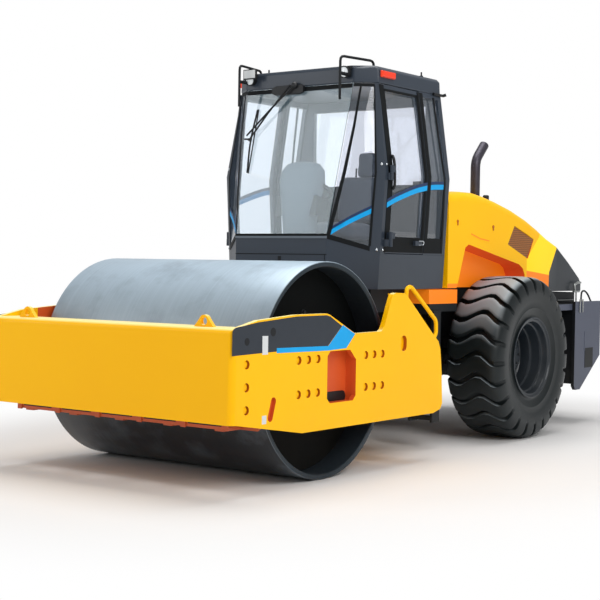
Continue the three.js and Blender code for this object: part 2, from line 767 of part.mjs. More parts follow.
function windscreen() {
  const low = noseSillZ + seatGap;
  const high = roofEdgeZ - 2 * seatGap;
  const a = corner(low);
  const b = corner(high);
  return pane([[-a.noseX + 8, a.noseY, low], [a.noseX - 8, a.noseY, low],
    [b.noseX - 8, b.noseY, high], [-b.noseX + 8, b.noseY, high]], glassThick);
}

function cornerGlass(side) {
  const high = roofEdgeZ - 2;
  const share = postShare - 0.01;
  const foot = (s) => {
    const [x, y] = cornerPoint(noseSillZ, s);
    return [x, y, sillHeight(y) + 6];
  };
  const body = pane([foot(0.02), foot(share), cornerPoint(high, share), cornerPoint(high, 0.02)],
    glassThick);
  return mirrored(body, side);
}

const roofFrontHalf = 560;
const roofLead = 10;              // roof ahead of the glass line

// Roof pan, its rim leaning in to the top; grown by a clearance where something seats on it.
function roofBlock(grown = 0) {
  const c = corner(roofEdgeZ);
  const ring = (grow, z) => [
    [roofFrontHalf + grow, c.noseY - roofLead - grow / 2, z],
    [cabHalfTop + grow, c.sideY - roofLead, z], [cabHalfTop + grow, cabRearY - 2, z],
    [-cabHalfTop - grow, cabRearY - 2, z], [-cabHalfTop - grow, c.sideY - roofLead, z],
    [-roofFrontHalf - grow, c.noseY - roofLead - grow / 2, z],
  ];
  return loft([ring(2 * grown, roofEdgeZ), ring(2 * grown - 6, roofTopZ - 30),
    ring(2 * grown - 40, roofTopZ)]);
}

const armTube = 11;               // mirror arm
const armFootX = 590;

// Bent mirror arm: a leg hanging before the windscreen, a rail back over the roof and a foot on it.
function mirrorArm(side) {
  const front = corner(roofEdgeZ).noseY - armLead;
  const rear = front + armRun;
  const top = roofTopZ + 56;
  const arm = tube([
    [armLegX, front, top - 350], [armLegX, front, top], [armFootX, rear, top],
    [armFootX, rear, roofTopZ + seatGap],
  ], armTube, 42, 8);
  const strut = box(armLegX - 12, armLegX + 12, front, front + armLead, roofEdgeZ + 50, roofEdgeZ + 74);
  return mirrored(join(arm, strut).subtract(roofBlock(seatGap)), side);
}

const armLegX = 522;
const armLead = 152;              // leg ahead of the roof's front edge
const armRun = 386;

function seatShape() {
  const cushion = box(-250, 250, seatY - 260, seatY + 230, seatZ, seatZ + 110);
  const rest = prism('x', [
    [seatY + 130, seatZ + 100], [seatY + 240, seatZ + 90], [seatY + 300, seatZ + 640],
    [seatY + 220, seatZ + 650],
  ], -235, 235);
  return join(cushion, rest);
}

const columnY = noseY + 230;

function steeringColumn() {
  const post = prism('x', [
    [columnY - 60, cabFloorZ + 60 + seatGap], [columnY + 110, cabFloorZ + 60 + seatGap],
    [columnY + 150, 2080], [columnY + 60, 2100],
  ], -80, 80);
  const dash = prism('x', [
    [columnY - 20, 1980], [columnY + 170, 2000], [columnY + 150, 2120], [columnY, 2150],
  ], -210, 210);
  const shaft = cylinder('z', [0, columnY + 150, 2150], 22, 140, 16);
  const wheel = turned([[185, -13], [211, -13], [211, 13], [185, 13]], [0, 0, 0], 32)
    .rotate([0, 90, 0]).rotate([-20, 0, 0]).translate([0, columnY + 160, 2215]);
  const spokes = box(-190, 190, -14, 14, -8, 8).rotate([-20, 0, 0]).translate([0, columnY + 160, 2215]);
  return join(post, dash, shaft, wheel, spokes);
}

// ---- hood ----
// Crown line: y behind the hood's front, z above its floor, and how round the shoulder is there.
const crownLine = [
  [0, 836, 1], [150, 848, 1], [282, 862, 1], [488, 863, 1], [681, 841, 1], [924, 802, 1],
  [1197, 747, 1], [1506, 663, 1], [1752, 582, 0.9], [1990, 491, 0.6], [2266, 410, 0.35],
  [2535, 255, 0.2], [2797, 90, 0.1], [2842, 40, 0.1],
];
// Full shoulder: in from the flank and down from the crown.
const shoulder = [[0, 95], [8, 52], [28, 22], [62, 5], [130, 0]];

function flankHalf(y) {
  const taperEnd = hoodFrontY + 2266;
  const share = THREE.MathUtils.clamp((y - hoodTaperY) / (taperEnd - hoodTaperY), 0, 1);
  return THREE.MathUtils.lerp(hoodHalf, tailHalf, share);
}

function bonnetRing(y, crown, round, inset, floor) {
  const half = flankHalf(y) - inset;
  const right = shoulder.map(([into, down]) => [
    half - into * round, y, hoodFloorZ + crown - inset - down * round,
  ]);
  const left = [...right].reverse().map(([x, , z]) => [-x, y, z]);
  return [[half, y, floor], ...right, ...left, [-half, y, floor]];
}

// Hood and tail as one block, shrunk by the inset and reaching down to the tail's lower edge.
function bonnetBlock(inset) {
  const floor = hoodFloorZ - tailDrop - inset;
  const rear = hoodFrontY + crownLine.at(-1)[0];
  const rings = crownLine.map(([y, crown, round]) => bonnetRing(
    Math.min(hoodFrontY + y, rear - inset), crown, round, inset, floor));
  return loft(rings);
}

// Side view of the joint between the hood and its tail, low end first.
const jointLine = [[2057, -tailDrop - 40], [2064, 144], [2420, 600]];

function bonnetPart(block, isTail) {
  const shift = isTail ? 1.5 * seatGap : 0;
  const joint = jointLine.map(([y, z]) => [hoodFrontY + y + shift, hoodFloorZ + z]);
  const far = isTail ? hoodFrontY + 3000 : hoodFrontY - 100;
  const floor = isTail ? joint[0][1] - 1 : hoodFloorZ;
  const first = isTail ? joint[0] : [joint[0][0], hoodFloorZ];
  const region = prism('x', [
    [far, floor], [first[0], floor], joint[1], joint[2], [joint[2][0], hoodFloorZ + 1200],
    [far, hoodFloorZ + 1200],
  ], -hoodHalf - 10, hoodHalf + 10);
  return block.intersect(region);
}

// Wheel-arch recess in the hood's flank, grown by the wall where the hollow goes round it.
function archCut(inner, grow = 0) {
  const outline = [
    [-850 - grow, -10], [-820 - grow, 50], [-700 - grow, 360 + grow], [-640, 390 + grow],
    [340, 220 + grow], [420 + grow, 180 + grow], [460 + grow, 120], [470 + grow, -10],
  ];
  return prism('x', outline.map(([y, z]) => [axleY + y, hoodFloorZ + z]), inner, hoodHalf + 50);
}

const grilleCorners = [[axleY + 235, 585], [axleY + 650, 465], [axleY + 520, 275], [axleY + 105, 405]];

function grilleOpening(inset, x0, x1) {
  const points = grilleCorners.map(([y, z]) => [y, hoodFloorZ + z]);
  const cy = points.reduce((sum, p) => sum + p[0], 0) / 4;
  const cz = points.reduce((sum, p) => sum + p[1], 0) / 4;
  return prism('x', points.map(([y, z]) => [
    y + Math.sign(cy - y) * inset, z + Math.sign(cz - z) * inset,
  ]), x0, x1);
}

function hood() {
  const outer = bonnetPart(bonnetBlock(0), false);
  let inner = bonnetBlock(hoodWall).subtract(box(-hoodHalf, hoodHalf, hoodFrontY - 5,
    hoodFrontY + hoodWall, hoodFloorZ - 100, hoodFloorZ + 1200));
  for (const [, side] of sides) {
    inner = inner.subtract(mirrored(archCut(archHalf - hoodWall, hoodWall), side));
  }
  let body = outer.subtract(inner);
  for (const [, side] of sides) {
    body = body.subtract(mirrored(archCut(archHalf), side));
    body = body.subtract(mirrored(grilleOpening(0, hoodHalf - hoodWall - 12, hoodHalf + 5), side));
  }
  return body.subtract(cylinder('z', [exhaustX, exhaustY, 2100], exhaustRadius + bearingGap, 700, 16));
}

function sideGrille(side) {
  return mirrored(grilleOpening(seatGap, hoodHalf - hoodWall + 2, hoodHalf - 8), side);
}

const exhaustX = 380;
const exhaustY = axleY + 210;
const exhaustRadius = 46;

// Upright pipe with its mouth turned back, open at the top.
function exhaustStack() {
  const bendY = exhaustY + 165;
  const pipe = (radius, lift) => tube([
    [exhaustX, exhaustY, 2300 + lift],
    [exhaustX, exhaustY, 2600],
    [exhaustX, bendY + lift / 10, 2760 + lift / 10],
  ], radius, 70, 16, 4);
  const stem = cylinder('z', [exhaustX, exhaustY, 2100], exhaustRadius, 420, 16);
  return join(stem, pipe(exhaustRadius, 0)).subtract(pipe(exhaustRadius - 6, 60));
}

function hoodTail() {
  const shell = bonnetPart(bonnetBlock(0).subtract(bonnetBlock(hoodWall)), true);
  const knuckles = sides.map(([, side]) => mirrored(tailKnuckle(tailHingeX - 62, 60), side));
  return join(shell, ...knuckles);
}

const tailHingeX = 330;
const tailHingeY = rearFaceY - 83.5;
const tailHingeZ = hoodFloorZ - 60;

function tailKnuckle(x, width) {
  const eye = cylinder('x', [x + width / 2, tailHingeY, tailHingeZ], 24, width, 16);
  const rearWall = hoodFrontY + crownLine.at(-1)[0] - hoodWall;
  return eye.add(box(x, x + width, tailHingeY - 14, rearWall + 4, tailHingeZ, tailHingeZ + 60));
}

// ---- rear ballast and side gear ----
const ballastTop = 1240;
const ballastBottom = 350;
const ballastFrontY = rearFaceY - 608;
const sidePlateThick = 34;
const ballastHalf = 970;

function counterweight() {
  const inner = ballastHalf - sidePlateThick;
  const core = box(-inner - 1, inner + 1, ballastFrontY + 20, rearFaceY, ballastBottom + 60, ballastTop - 25);
  const slopeY = rearFaceY - 470;   // where the underside starts to rise to the rear
  const cheek = prism('x', [
    [ballastFrontY, ballastBottom + 40],
    [ballastFrontY + 40, ballastBottom],
    [slopeY, ballastBottom],
    [rearFaceY, ballastBottom + 330],
    [rearFaceY, ballastTop],
    [ballastFrontY, ballastTop],
  ], inner, ballastHalf);
  const undercut = prism('x', [
    [slopeY, ballastBottom], [rearFaceY + 1, ballastBottom + 331], [rearFaceY + 1, ballastBottom],
  ], -inner - 2, inner + 2);
  const ledge = box(-inner, inner, axleY + tyreRadius + 110, ballastFrontY + 40, ballastTop - 85,
    ballastTop - 25);
  const slotForFrame = box(-railHalf - seatGap, railHalf + seatGap, axleY, frameEndY + seatGap,
    0, ballastTop + 100);
  const deckSlot = box(-deckHalf - seatGap, deckHalf + seatGap, axleY, frameEndY + seatGap,
    chassisTop - 25, hoodFloorZ + 100);
  let body = join(core.subtract(undercut), ledge);
  for (const [, side] of sides) {
    body = body.add(mirrored(cheek, side));
    body = body.subtract(mirrored(box(ballastHalf - 8, ballastHalf + 1, rearFaceY - 375, rearFaceY - 290,
      745, 925), side));
    body = body.add(mirrored(tailSocket(), side));
  }
  return cut(body, slotForFrame, deckSlot);
}

// Hinge eye on the ballast, beside the hood's own eye.
function tailSocket() {
  const eye = cylinder('x', [tailHingeX + 30 + pivotGap, tailHingeY, tailHingeZ], 24, 60, 16);
  return eye.add(box(tailHingeX + pivotGap, tailHingeX + pivotGap + 60, tailHingeY - 24, tailHingeY + 24,
    ballastTop - 40, tailHingeZ));
}

const stepTreads = [250, 530, 810];
const stepFrontY = hingeY + 258;  // clear of the crossbeam at full steering
const stepDepth = 120;
const stepInner = 600;
const stepOuter = 845;
const stepSheet = 25;

function sidePlatform(side) {
  const rear = axleY - tyreRadius - 75;
  const top = box(deckHalf + seatGap, 795, stepFrontY, rear, deckBottom, cabFloorZ - 8);
  const run = [stepFrontY, stepFrontY + stepDepth];
  const hangers = [stepInner, stepOuter - stepSheet].map((x) => box(x, x + stepSheet, ...run,
    stepTreads[0] - 20, deckBottom + 10));
  const lid = box(stepInner, stepOuter, ...run, deckBottom - 20, deckBottom + 10);
  const treads = stepTreads.map((z) => box(stepInner, stepOuter, ...run, z, z + 30));
  return mirrored(join(top, lid, ...hangers, ...treads), side);
}

// ---- assembly ----
node('front_beam', geometryOf(frontBeam()), yellow);
node('rear_crossbeam', geometryOf(rearCrossbeam()), yellow);
node('scraper_front', geometryOf(scraper(-1)), 0xc2481f);
node('scraper_rear', geometryOf(scraper(1)), 0xc2481f);
node('drum_shell', geometryOf(drumShellRing()), steel, 0.35, 0.9);
node('centre_link', geometryOf(centreLink()), darkGrey);
node('hinge_yoke', geometryOf(hingeYoke()), darkGrey);
node('chassis', geometryOf(chassis()), darkGrey);
node('rear_axle', geometryOf(rearAxle()), darkGrey);
node('engine', geometryOf(engineBlock()), 0x55595c);
node('cab_base', geometryOf(cabBase()), darkGrey);
node('cab_rear_wall', geometryOf(rearWall()), darkGrey);
node('cab_roof', geometryOf(roofBlock()), darkGrey);
node('windshield', geometryOf(windscreen()), glassTint, 0.05);
node('rear_glass', geometryOf(rearGlass()), glassTint, 0.05);
node('seat', geometryOf(seatShape()), 0x2b2d30, 0.8);
node('steering_column', geometryOf(steeringColumn()), black);
node('hood', geometryOf(hood()), yellow);
node('hood_tail', geometryOf(hoodTail()), black);
node('exhaust_stack', geometryOf(exhaustStack()), 0x4a4850, 0.5, 0.6);
node('counterweight', geometryOf(counterweight()), plateGrey);

for (const [name, side] of sides) {
  node(`side_plate_${name}`, geometryOf(sidePlate(side)), yellow);
  node(`handrail_${name}`, geometryOf(handrail(side)), yellow);
  node(`drum_carrier_${name}`, geometryOf(drumCarrier(side)), yellow);
  node(`drum_head_${name}`, geometryOf(drumHead(side)), steel, 0.6, 0.7);
  node(`steer_barrel_${name}`, geometryOf(cylinderBarrel(side)), black);
  node(`steer_rod_${name}`, geometryOf(cylinderRod(side)), chrome, 0.15, 1);
  node(`tyre_${name}`, geometryOf(tyre(side)), rubber, 0.85);
  node(`rim_${name}`, geometryOf(rim(side)), rimBlue);
  node(`front_post_${name}`, geometryOf(frontPost(side)), darkGrey);
  node(`door_${name}`, geometryOf(door(side)), darkGrey);
  node(`door_glass_${name}`, geometryOf(doorGlass(side)), glassTint, 0.05);
  node(`quarter_glass_${name}`, geometryOf(quarterGlass(side)), glassTint, 0.05);
  node(`corner_glass_${name}`, geometryOf(cornerGlass(side)), glassTint, 0.05);
  node(`mirror_arm_${name}`, geometryOf(mirrorArm(side)), black);
  node(`side_grille_${name}`, geometryOf(sideGrille(side)), 0x8a5420);
  node(`side_platform_${name}`, geometryOf(sidePlatform(side)), black);
}

export default machine;
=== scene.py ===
import bmesh
import bpy
import math
from mathutils import Matrix, Vector


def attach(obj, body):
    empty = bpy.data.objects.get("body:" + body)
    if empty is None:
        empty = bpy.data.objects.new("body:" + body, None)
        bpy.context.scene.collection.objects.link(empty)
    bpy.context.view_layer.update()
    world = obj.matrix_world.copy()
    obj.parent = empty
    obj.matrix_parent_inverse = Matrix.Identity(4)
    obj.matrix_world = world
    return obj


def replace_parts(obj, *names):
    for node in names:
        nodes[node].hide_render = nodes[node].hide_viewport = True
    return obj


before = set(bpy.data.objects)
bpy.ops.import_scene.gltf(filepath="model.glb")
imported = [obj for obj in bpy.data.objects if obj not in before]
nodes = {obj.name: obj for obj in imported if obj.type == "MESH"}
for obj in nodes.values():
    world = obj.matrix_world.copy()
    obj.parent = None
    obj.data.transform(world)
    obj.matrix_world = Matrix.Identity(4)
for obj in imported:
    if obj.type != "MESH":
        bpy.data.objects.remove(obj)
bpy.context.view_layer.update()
sides = (("left", 1), ("right", -1))


# Camera, floor and light.
cameraView = {
    "place": (6.738, -9.934, 1.585),
    "azimuth": 36.44,             # degrees, turned left from looking along +Y
    "pitch": 1.58,                # degrees down
    "roll": 0.89,
    "lens": 80.5,
}


def makeCamera():
    azimuth = math.radians(cameraView["azimuth"])
    pitch = math.radians(cameraView["pitch"])
    right = Vector((math.cos(azimuth), math.sin(azimuth), 0))
    ahead = Vector((-math.sin(azimuth) * math.cos(pitch), math.cos(azimuth) * math.cos(pitch),
                    -math.sin(pitch)))
    roll = Matrix.Rotation(-math.radians(cameraView["roll"]), 3, ahead)
    right = roll @ right
    up = right.cross(ahead)
    data = bpy.data.cameras.new("studioCamera")
    data.lens = cameraView["lens"]
    data.clip_end = 200
    camera = bpy.data.objects.new("studioCamera", data)
    bpy.context.scene.collection.objects.link(camera)
    camera.matrix_world = Matrix((
        (right.x, up.x, -ahead.x, cameraView["place"][0]),
        (right.y, up.y, -ahead.y, cameraView["place"][1]),
        (right.z, up.z, -ahead.z, cameraView["place"][2]),
        (0, 0, 0, 1),
    ))
    bpy.context.scene.camera = camera


def linear(hexColour):            # sRGB hex to linear RGBA
    channels = [int(hexColour[i:i + 2], 16) / 255 for i in (1, 3, 5)]
    return [c / 12.92 if c <= 0.04045 else ((c + 0.055) / 1.055) ** 2.4 for c in channels] + [1]


# Settings are node properties, socket values, sRGB hex colours, or sockets to link from.
def add(tree, kind, settings=()):
    node = tree.nodes.new("ShaderNode" + kind)
    for key, value in dict(settings).items():
        if isinstance(value, bpy.types.NodeSocket):
            tree.links.new(value, node.inputs[key])
            continue
        if isinstance(value, str) and value.startswith("#"):
            value = linear(value)
        if isinstance(key, int) or key in node.inputs:
            node.inputs[key].default_value = value
        else:
            setattr(node, key, value)
    return node


def newMaterial(name):
    material = bpy.data.materials.new(name)
    material.use_nodes = True
    tree = material.node_tree
    tree.nodes.clear()
    return material, tree


studio = {
    "sky": "#f3f5f8",
    "skyStrength": 0.5,
    "floor": "#f4f4f4",
    "floorSeen": "#e2e0de",        # toned so that the open floor just reaches white and shadows show
    "fade": (3.5, 6.0),            # metres from the machine over which the floor turns pure white
    "fadeWide": 1.4,               # how much nearer it turns white across the view
    "half": 70,
    "lamps": (                     # place, aim, size across, watts
        ((9.0, -4.0, 7.5), (0.3, -0.4, 0.8), 6.0, 560),
        ((-6.5, -9.0, 5.0), (0.0, -1.5, 1.0), 5.0, 180),
        ((0.0, 1.0, 11.0), (0.0, 0.0, 0.0), 7.0, 760),
    ),
}


def makeStudio():
    world = bpy.data.worlds.new("studioSky")
    bpy.context.scene.world = world
    world.use_nodes = True
    tree = world.node_tree
    tree.nodes.clear()
    path = add(tree, "LightPath").outputs
    seen = add(tree, "Math", {"operation": "MAXIMUM", 0: path["Is Camera Ray"],
                              1: path["Is Transmission Ray"]})
    sky = add(tree, "Background", {"Color": studio["sky"], "Strength": studio["skyStrength"]})
    white = add(tree, "Background", {"Color": "#ffffff", "Strength": 1.0})
    mix = add(tree, "MixShader", {0: seen.outputs[0], 1: sky.outputs[0], 2: white.outputs[0]})
    add(tree, "OutputWorld", {"Surface": mix.outputs[0]})

    material, tree = newMaterial("matt vinyl studio floor")
    path = add(tree, "LightPath").outputs
    tone = add(tree, "Mix", {"data_type": "RGBA", 0: path["Is Camera Ray"], 6: studio["floor"],
                             7: studio["floorSeen"]})
    shader = add(tree, "BsdfPrincipled", {"Roughness": 0.9, "Specular IOR Level": 0.1,
                                          "Base Color": tone.outputs[2]})
    place = add(tree, "TexCoord").outputs["Object"]
    wide = add(tree, "VectorMath", {"operation": "MULTIPLY", 0: place,
                                    1: (studio["fadeWide"], 1.0, 1.0)})
    reach = add(tree, "VectorMath", {"operation": "LENGTH", 0: wide.outputs[0]})
    near, far = studio["fade"]
    fade = add(tree, "MapRange", {"interpolation_type": "SMOOTHSTEP", "Value": reach.outputs["Value"],
                                  "From Min": near, "From Max": far})
    glow = add(tree, "Emission", {"Color": "#ffffff", "Strength": 1.0})
    mix = add(tree, "MixShader", {0: fade.outputs[0], 1: shader.outputs[0], 2: glow.outputs[0]})
    add(tree, "OutputMaterial", {"Surface": mix.outputs[0]})
    mesh = bpy.data.meshes.new("studioFloor")
    half = studio["half"]
    mesh.from_pydata([(-half, -half, 0), (half, -half, 0), (half, half, 0), (-half, half, 0)], [],
                     [(0, 1, 2, 3)])
    mesh.materials.append(material)
    floor = bpy.data.objects.new("studioFloor", mesh)
    bpy.context.scene.collection.objects.link(floor)

    for index, (place, aim, size, watts) in enumerate(studio["lamps"]):
        lamp = bpy.data.lights.new("softbox%d" % index, "AREA")
        lamp.size = size
        lamp.energy = watts
        holder = bpy.data.objects.new("softbox%d" % index, lamp)
        bpy.context.scene.collection.objects.link(holder)
        holder.location = place
        holder.rotation_euler = (Vector(aim) - Vector(place)).to_track_quat("-Z", "Y").to_euler()
    bpy.context.scene.view_settings.view_transform = "Standard"


makeCamera()
makeStudio()
print("camera and studio ready")


# Most helpers add one shader node and return the socket that the next one reads.
def textured(name):
    material, tree = newMaterial(name)
    return material, tree, add(tree, "TexCoord").outputs["Object"]


def noise(tree, place, size, detail, roughness=0.5):      # size of a cloud in metres
    return add(tree, "TexNoise", {"Vector": place, "Scale": 1.0 / size, "Detail": detail,
                                  "Roughness": roughness}).outputs["Fac"]


def blend(tree, share, first, second):
    return add(tree, "Mix", {"data_type": "RGBA", 0: share, 6: first, 7: second}).outputs[2]


def spread(tree, value, low, high, start=0.0, end=1.0):
    return add(tree, "MapRange", {"Value": value, "From Min": start, "From Max": end,
                                  "To Min": low, "To Max": high}).outputs[0]


def product(tree, first, second):
    return add(tree, "Math", {"operation": "MULTIPLY", 0: first, 1: second}).outputs[0]


def bumped(tree, height, strength, distance):
    return add(tree, "Bump", {"Height": height, "Strength": strength,
                              "Distance": distance}).outputs["Normal"]


def upwardness(tree):                 # 1 on a face that looks straight up
    facing = add(tree, "NewGeometry").outputs["Normal"]
    return add(tree, "SeparateXYZ", {0: facing}).outputs["Z"]


def surface(tree, colour, normal, settings):
    shader = add(tree, "BsdfPrincipled", {"Base Color": colour, "Normal": normal, **settings})
    add(tree, "OutputMaterial", {"Surface": shader.outputs[0]})


# `top` is a painted highlight: the paler tone that upward edges show under the sky. `glow` is painted light:
# emission in the paint's own colour that stands in for light bounced onto the paint, most of all inside a
# recess.
enamelBase = {"roughness": 0.5, "coat": 0.05, "cloudSize": 0.4, "dust": 0.1, "dustHeight": 0.9,
              "peel": 0.25, "sheen": 0.35, "glow": 0.0, "top": "#ffffff", "topShare": 0.0}
enamelLooks = {
    "yellow": {"colour": "#fdc000", "shade": "#f8b500", "roughness": 0.4, "coat": 0.1, "cloudSize": 0.9,
               "dust": 0.08, "dustHeight": 0.75, "sheen": 0.1, "glow": 0.05},
    # Its `top` is a painted highlight on the frame's upward edges.
    "frameYellow": {"colour": "#fcbd00", "shade": "#f8b300", "roughness": 0.4, "coat": 0.1,
                    "cloudSize": 0.9, "dust": 0.05, "dustHeight": 0.55, "sheen": 0.1, "top": "#fff0a8",
                    "topShare": 0.85, "glow": 0.05},
    # Painted highlight: a brighter, glowing copy of the hood's yellow for the lit facet above the rear
    # crease.
    "paintedHighlightYellow": {"colour": "#ffd800", "shade": "#ffd000", "roughness": 0.36, "coat": 0.15,
                    "cloudSize": 0.6, "dust": 0.05, "dustHeight": 0.75, "sheen": 0.1, "glow": 0.22},
    "graphite": {"colour": "#333b46", "shade": "#2b333d", "roughness": 0.38, "coat": 0.15,
                 "cloudSize": 0.7, "dust": 0.08, "dustHeight": 0.8, "sheen": 0.3},
    "black": {"colour": "#15181b", "shade": "#0f1114", "roughness": 0.55, "cloudSize": 0.5,
              "dust": 0.12, "peel": 0.3, "sheen": 0.25},
    "ballast": {"colour": "#4d5262", "shade": "#454a59", "coat": 0.1, "cloudSize": 0.8, "dust": 0.12,
                "peel": 0.4, "sheen": 0.3},
    "rim": {"colour": "#15202a", "shade": "#101920", "roughness": 0.42, "coat": 0.2, "dust": 0.12,
            "dustHeight": 1.4},
    # Painted shade: the yellow enamel as it looks in shade, used on the carriers and scrapers under the
    # frame.
    "paintedShadeBrown": {"colour": "#b9501f", "shade": "#a2431a", "coat": 0.1, "dust": 0.25, "peel": 0.3,
               "glow": 0.08},
    # Painted shade: the yellow as it looks in the hood's arch, on the skirts, the platform tops and the
    # seams; the soffit's red is a deeper painted shade.
    "arch": {"colour": "#f08018", "shade": "#e87410", "cloudSize": 0.5, "dustHeight": 0.8,
             "sheen": 0.2, "glow": 0.32},
    "archTop": {"colour": "#cc4a1e", "shade": "#bd4219", "cloudSize": 0.5, "dustHeight": 0.8,
                "sheen": 0.2, "glow": 0.4},
    # Painted shade: the yellow as it looks inside the window pocket, on the plate's inner face and in the
    # slot.
    "pocket": {"colour": "#cf5522", "shade": "#c24c1c", "sheen": 0.25, "glow": 0.12},
    # Painted shade: near-black for the drum's heads, which sit in the shade inside the drum.
    "paintedShadeBlack": {"colour": "#090d0e", "shade": "#060909", "roughness": 0.7, "coat": 0.0, "dust": 0.06,
             "sheen": 0.1},
    # Painted shade: the brown of the bolt pockets' shaded walls; the hood latches share it.
    "boltPocket": {"colour": "#bd600f", "shade": "#a8540c"},
    "tail": {"colour": "#262c32", "shade": "#1f252b", "roughness": 0.42, "coat": 0.2,
             "cloudSize": 0.6, "dustHeight": 0.8},
}


# Enamel sprayed on steel plate: a clear glossy film, slightly cloudy, with a faint orange peel
# and a little road dust low down. Upward faces get a painted highlight, and `glow` adds painted bounce
# light.
def sprayedEnamel(name, ownLook):
    look = {**enamelBase, **ownLook}
    material, tree, place = textured(name)
    tone = blend(tree, noise(tree, place, look["cloudSize"], 3.0), look["colour"], look["shade"])
    height = add(tree, "SeparateXYZ", {0: place}).outputs["Z"]
    low = spread(tree, height, 0.0, look["dust"], look["dustHeight"], 0.0)
    fleck = noise(tree, place, 0.16, 8.0, 0.65)          # dust patches about 160 mm across
    colour = blend(tree, product(tree, low, fleck), tone, "#8d8577")
    # Painted highlight: upward faces turn towards the paler `top` tone.
    lit = spread(tree, upwardness(tree), 0.0, look["topShare"], 0.6, 0.95)
    colour = blend(tree, lit, colour, look["top"])
    gloss = spread(tree, fleck, look["roughness"] - 0.05, look["roughness"] + 0.07)
    peel = noise(tree, place, 0.012, 1.0)                # real peel is 2 mm; drawn at 12 mm so it shows
    # The emission at `glow` strength is painted bounce light.
    surface(tree, colour, bumped(tree, peel, look["peel"], 0.0006), {
        "Roughness": gloss, "IOR": 1.5, "Coat Weight": look["coat"], "Coat Roughness": 0.12,
        "Specular IOR Level": look["sheen"], "Emission Color": look["colour"],
        "Emission Strength": look["glow"]})
    return material


# Rolled mild steel polished by the ground: scratches run round the drum, a few faint rust blooms,
# and the open sky above makes upward faces pale while the shaded underside stays dark.
def rolledSteel(name):
    material, tree, place = textured(name)
    stretch = add(tree, "Mapping", {"Vector": place, "Scale": (1.0, 0.012, 0.012)}).outputs[0]
    scratch = noise(tree, stretch, 0.012, 6.0, 0.7)      # real scratches are 0.5 mm; drawn at 12 mm
    patch = spread(tree, noise(tree, place, 0.35, 7.0, 0.6), 0.0, 0.42, 0.5, 0.72)
    sky = spread(tree, upwardness(tree), 0.0, 1.0, -0.35, 0.9)
    bright = blend(tree, sky, "#262a2f", "#c3d5e2")
    dull = blend(tree, sky, "#1f2327", "#a4b6c3")
    colour = blend(tree, patch, blend(tree, scratch, bright, dull), "#6d7a84")
    surface(tree, colour, bumped(tree, scratch, 0.25, 0.0008),
            {"Metallic": 0.35, "Roughness": spread(tree, scratch, 0.3, 0.52)})
    return material


metalLooks = {
    "chrome": {"colour": "#d4d8db", "shade": "#bcc2c7", "roughness": 0.1, "metallic": 1.0, "grain": 0.03},
    "zinc": {"colour": "#b4b6b4", "shade": "#8f9290", "roughness": 0.36, "metallic": 0.9, "grain": 0.01},
    "edge": {"colour": "#2c373f", "shade": "#212b32", "roughness": 0.5, "metallic": 0.4, "grain": 0.02},
    "exhaust": {"colour": "#4f4c55", "shade": "#3b3840", "roughness": 0.42, "metallic": 0.7, "grain": 0.05},
}


# Plain metals: chromed rod, zinc-plated fasteners, cut edge and heat-darkened tube differ in tone.
def platedMetal(name, look):
    material, tree, place = textured(name)
    grain = noise(tree, place, look["grain"], 5.0)
    gloss = spread(tree, grain, look["roughness"] - 0.04, look["roughness"] + 0.1)
    surface(tree, blend(tree, grain, look["colour"], look["shade"]), bumped(tree, grain, 0.12, 0.0005),
            {"Metallic": look["metallic"], "Roughness": gloss})
    return material


# Natural rubber vulcanised in a steel mould: matt black, slightly cloudy, grey with dust and
# finely pitted. `skyTone` is a painted highlight: the paler tone of lugs that look up at the sky, outside
# `treadRadius`.
def vulcanisedRubber(name, look):
    material, tree, place = textured(name)
    cloud = noise(tree, place, 0.22, 6.0, 0.6)
    tone = blend(tree, spread(tree, cloud, 0.0, look["dustShare"], 0.35, 0.8), look["colour"],
                 look["dust"])
    if "skyTone" in look:
        sky = spread(tree, upwardness(tree), 0.0, 0.9, 0.25, 0.95)
        hub = add(tree, "VectorMath", {"operation": "SUBTRACT", 0: place, 1: look["hub"]}).outputs[0]
        flat = add(tree, "VectorMath", {"operation": "MULTIPLY", 0: hub, 1: (0, 1, 1)}).outputs[0]
        reach = add(tree, "VectorMath", {"operation": "LENGTH", 0: flat}).outputs["Value"]
        raised = spread(tree, reach, 0.0, 1.0, look["treadRadius"] - 0.03, look["treadRadius"])
        tone = blend(tree, product(tree, sky, raised), tone, look["skyTone"])
    gloss = spread(tree, cloud, look["roughness"] - 0.08, look["roughness"] + 0.1)
    surface(tree, tone, bumped(tree, noise(tree, place, 0.006, 3.0), 0.3, 0.0008),
            {"IOR": 1.52, "Specular IOR Level": look["sheen"], "Roughness": gloss})
    return material


# Float glass, toughened or laminated: clear with a slight body tint, faint wiped streaks and a thin veil of
# reflected sky. The light path lets lamps through the pane so that the cab inside is lit.
def toughenedGlass(name, tint, veil, veilShare):
    material, tree, place = textured(name)
    colour = blend(tree, noise(tree, place, 0.12, 4.0), *tint)
    shader = add(tree, "BsdfPrincipled", {
        "Base Color": colour, "IOR": 1.45, "Roughness": 0.0, "Transmission Weight": 1.0,
        "Emission Color": veil, "Emission Strength": veilShare})
    clear = add(tree, "BsdfTransparent", {"Color": colour})
    shadow = add(tree, "LightPath").outputs["Is Shadow Ray"]
    mix = add(tree, "MixShader", {0: shadow, 1: shader.outputs[0], 2: clear.outputs[0]})
    add(tree, "OutputMaterial", {"Surface": mix.outputs[0]})
    return material


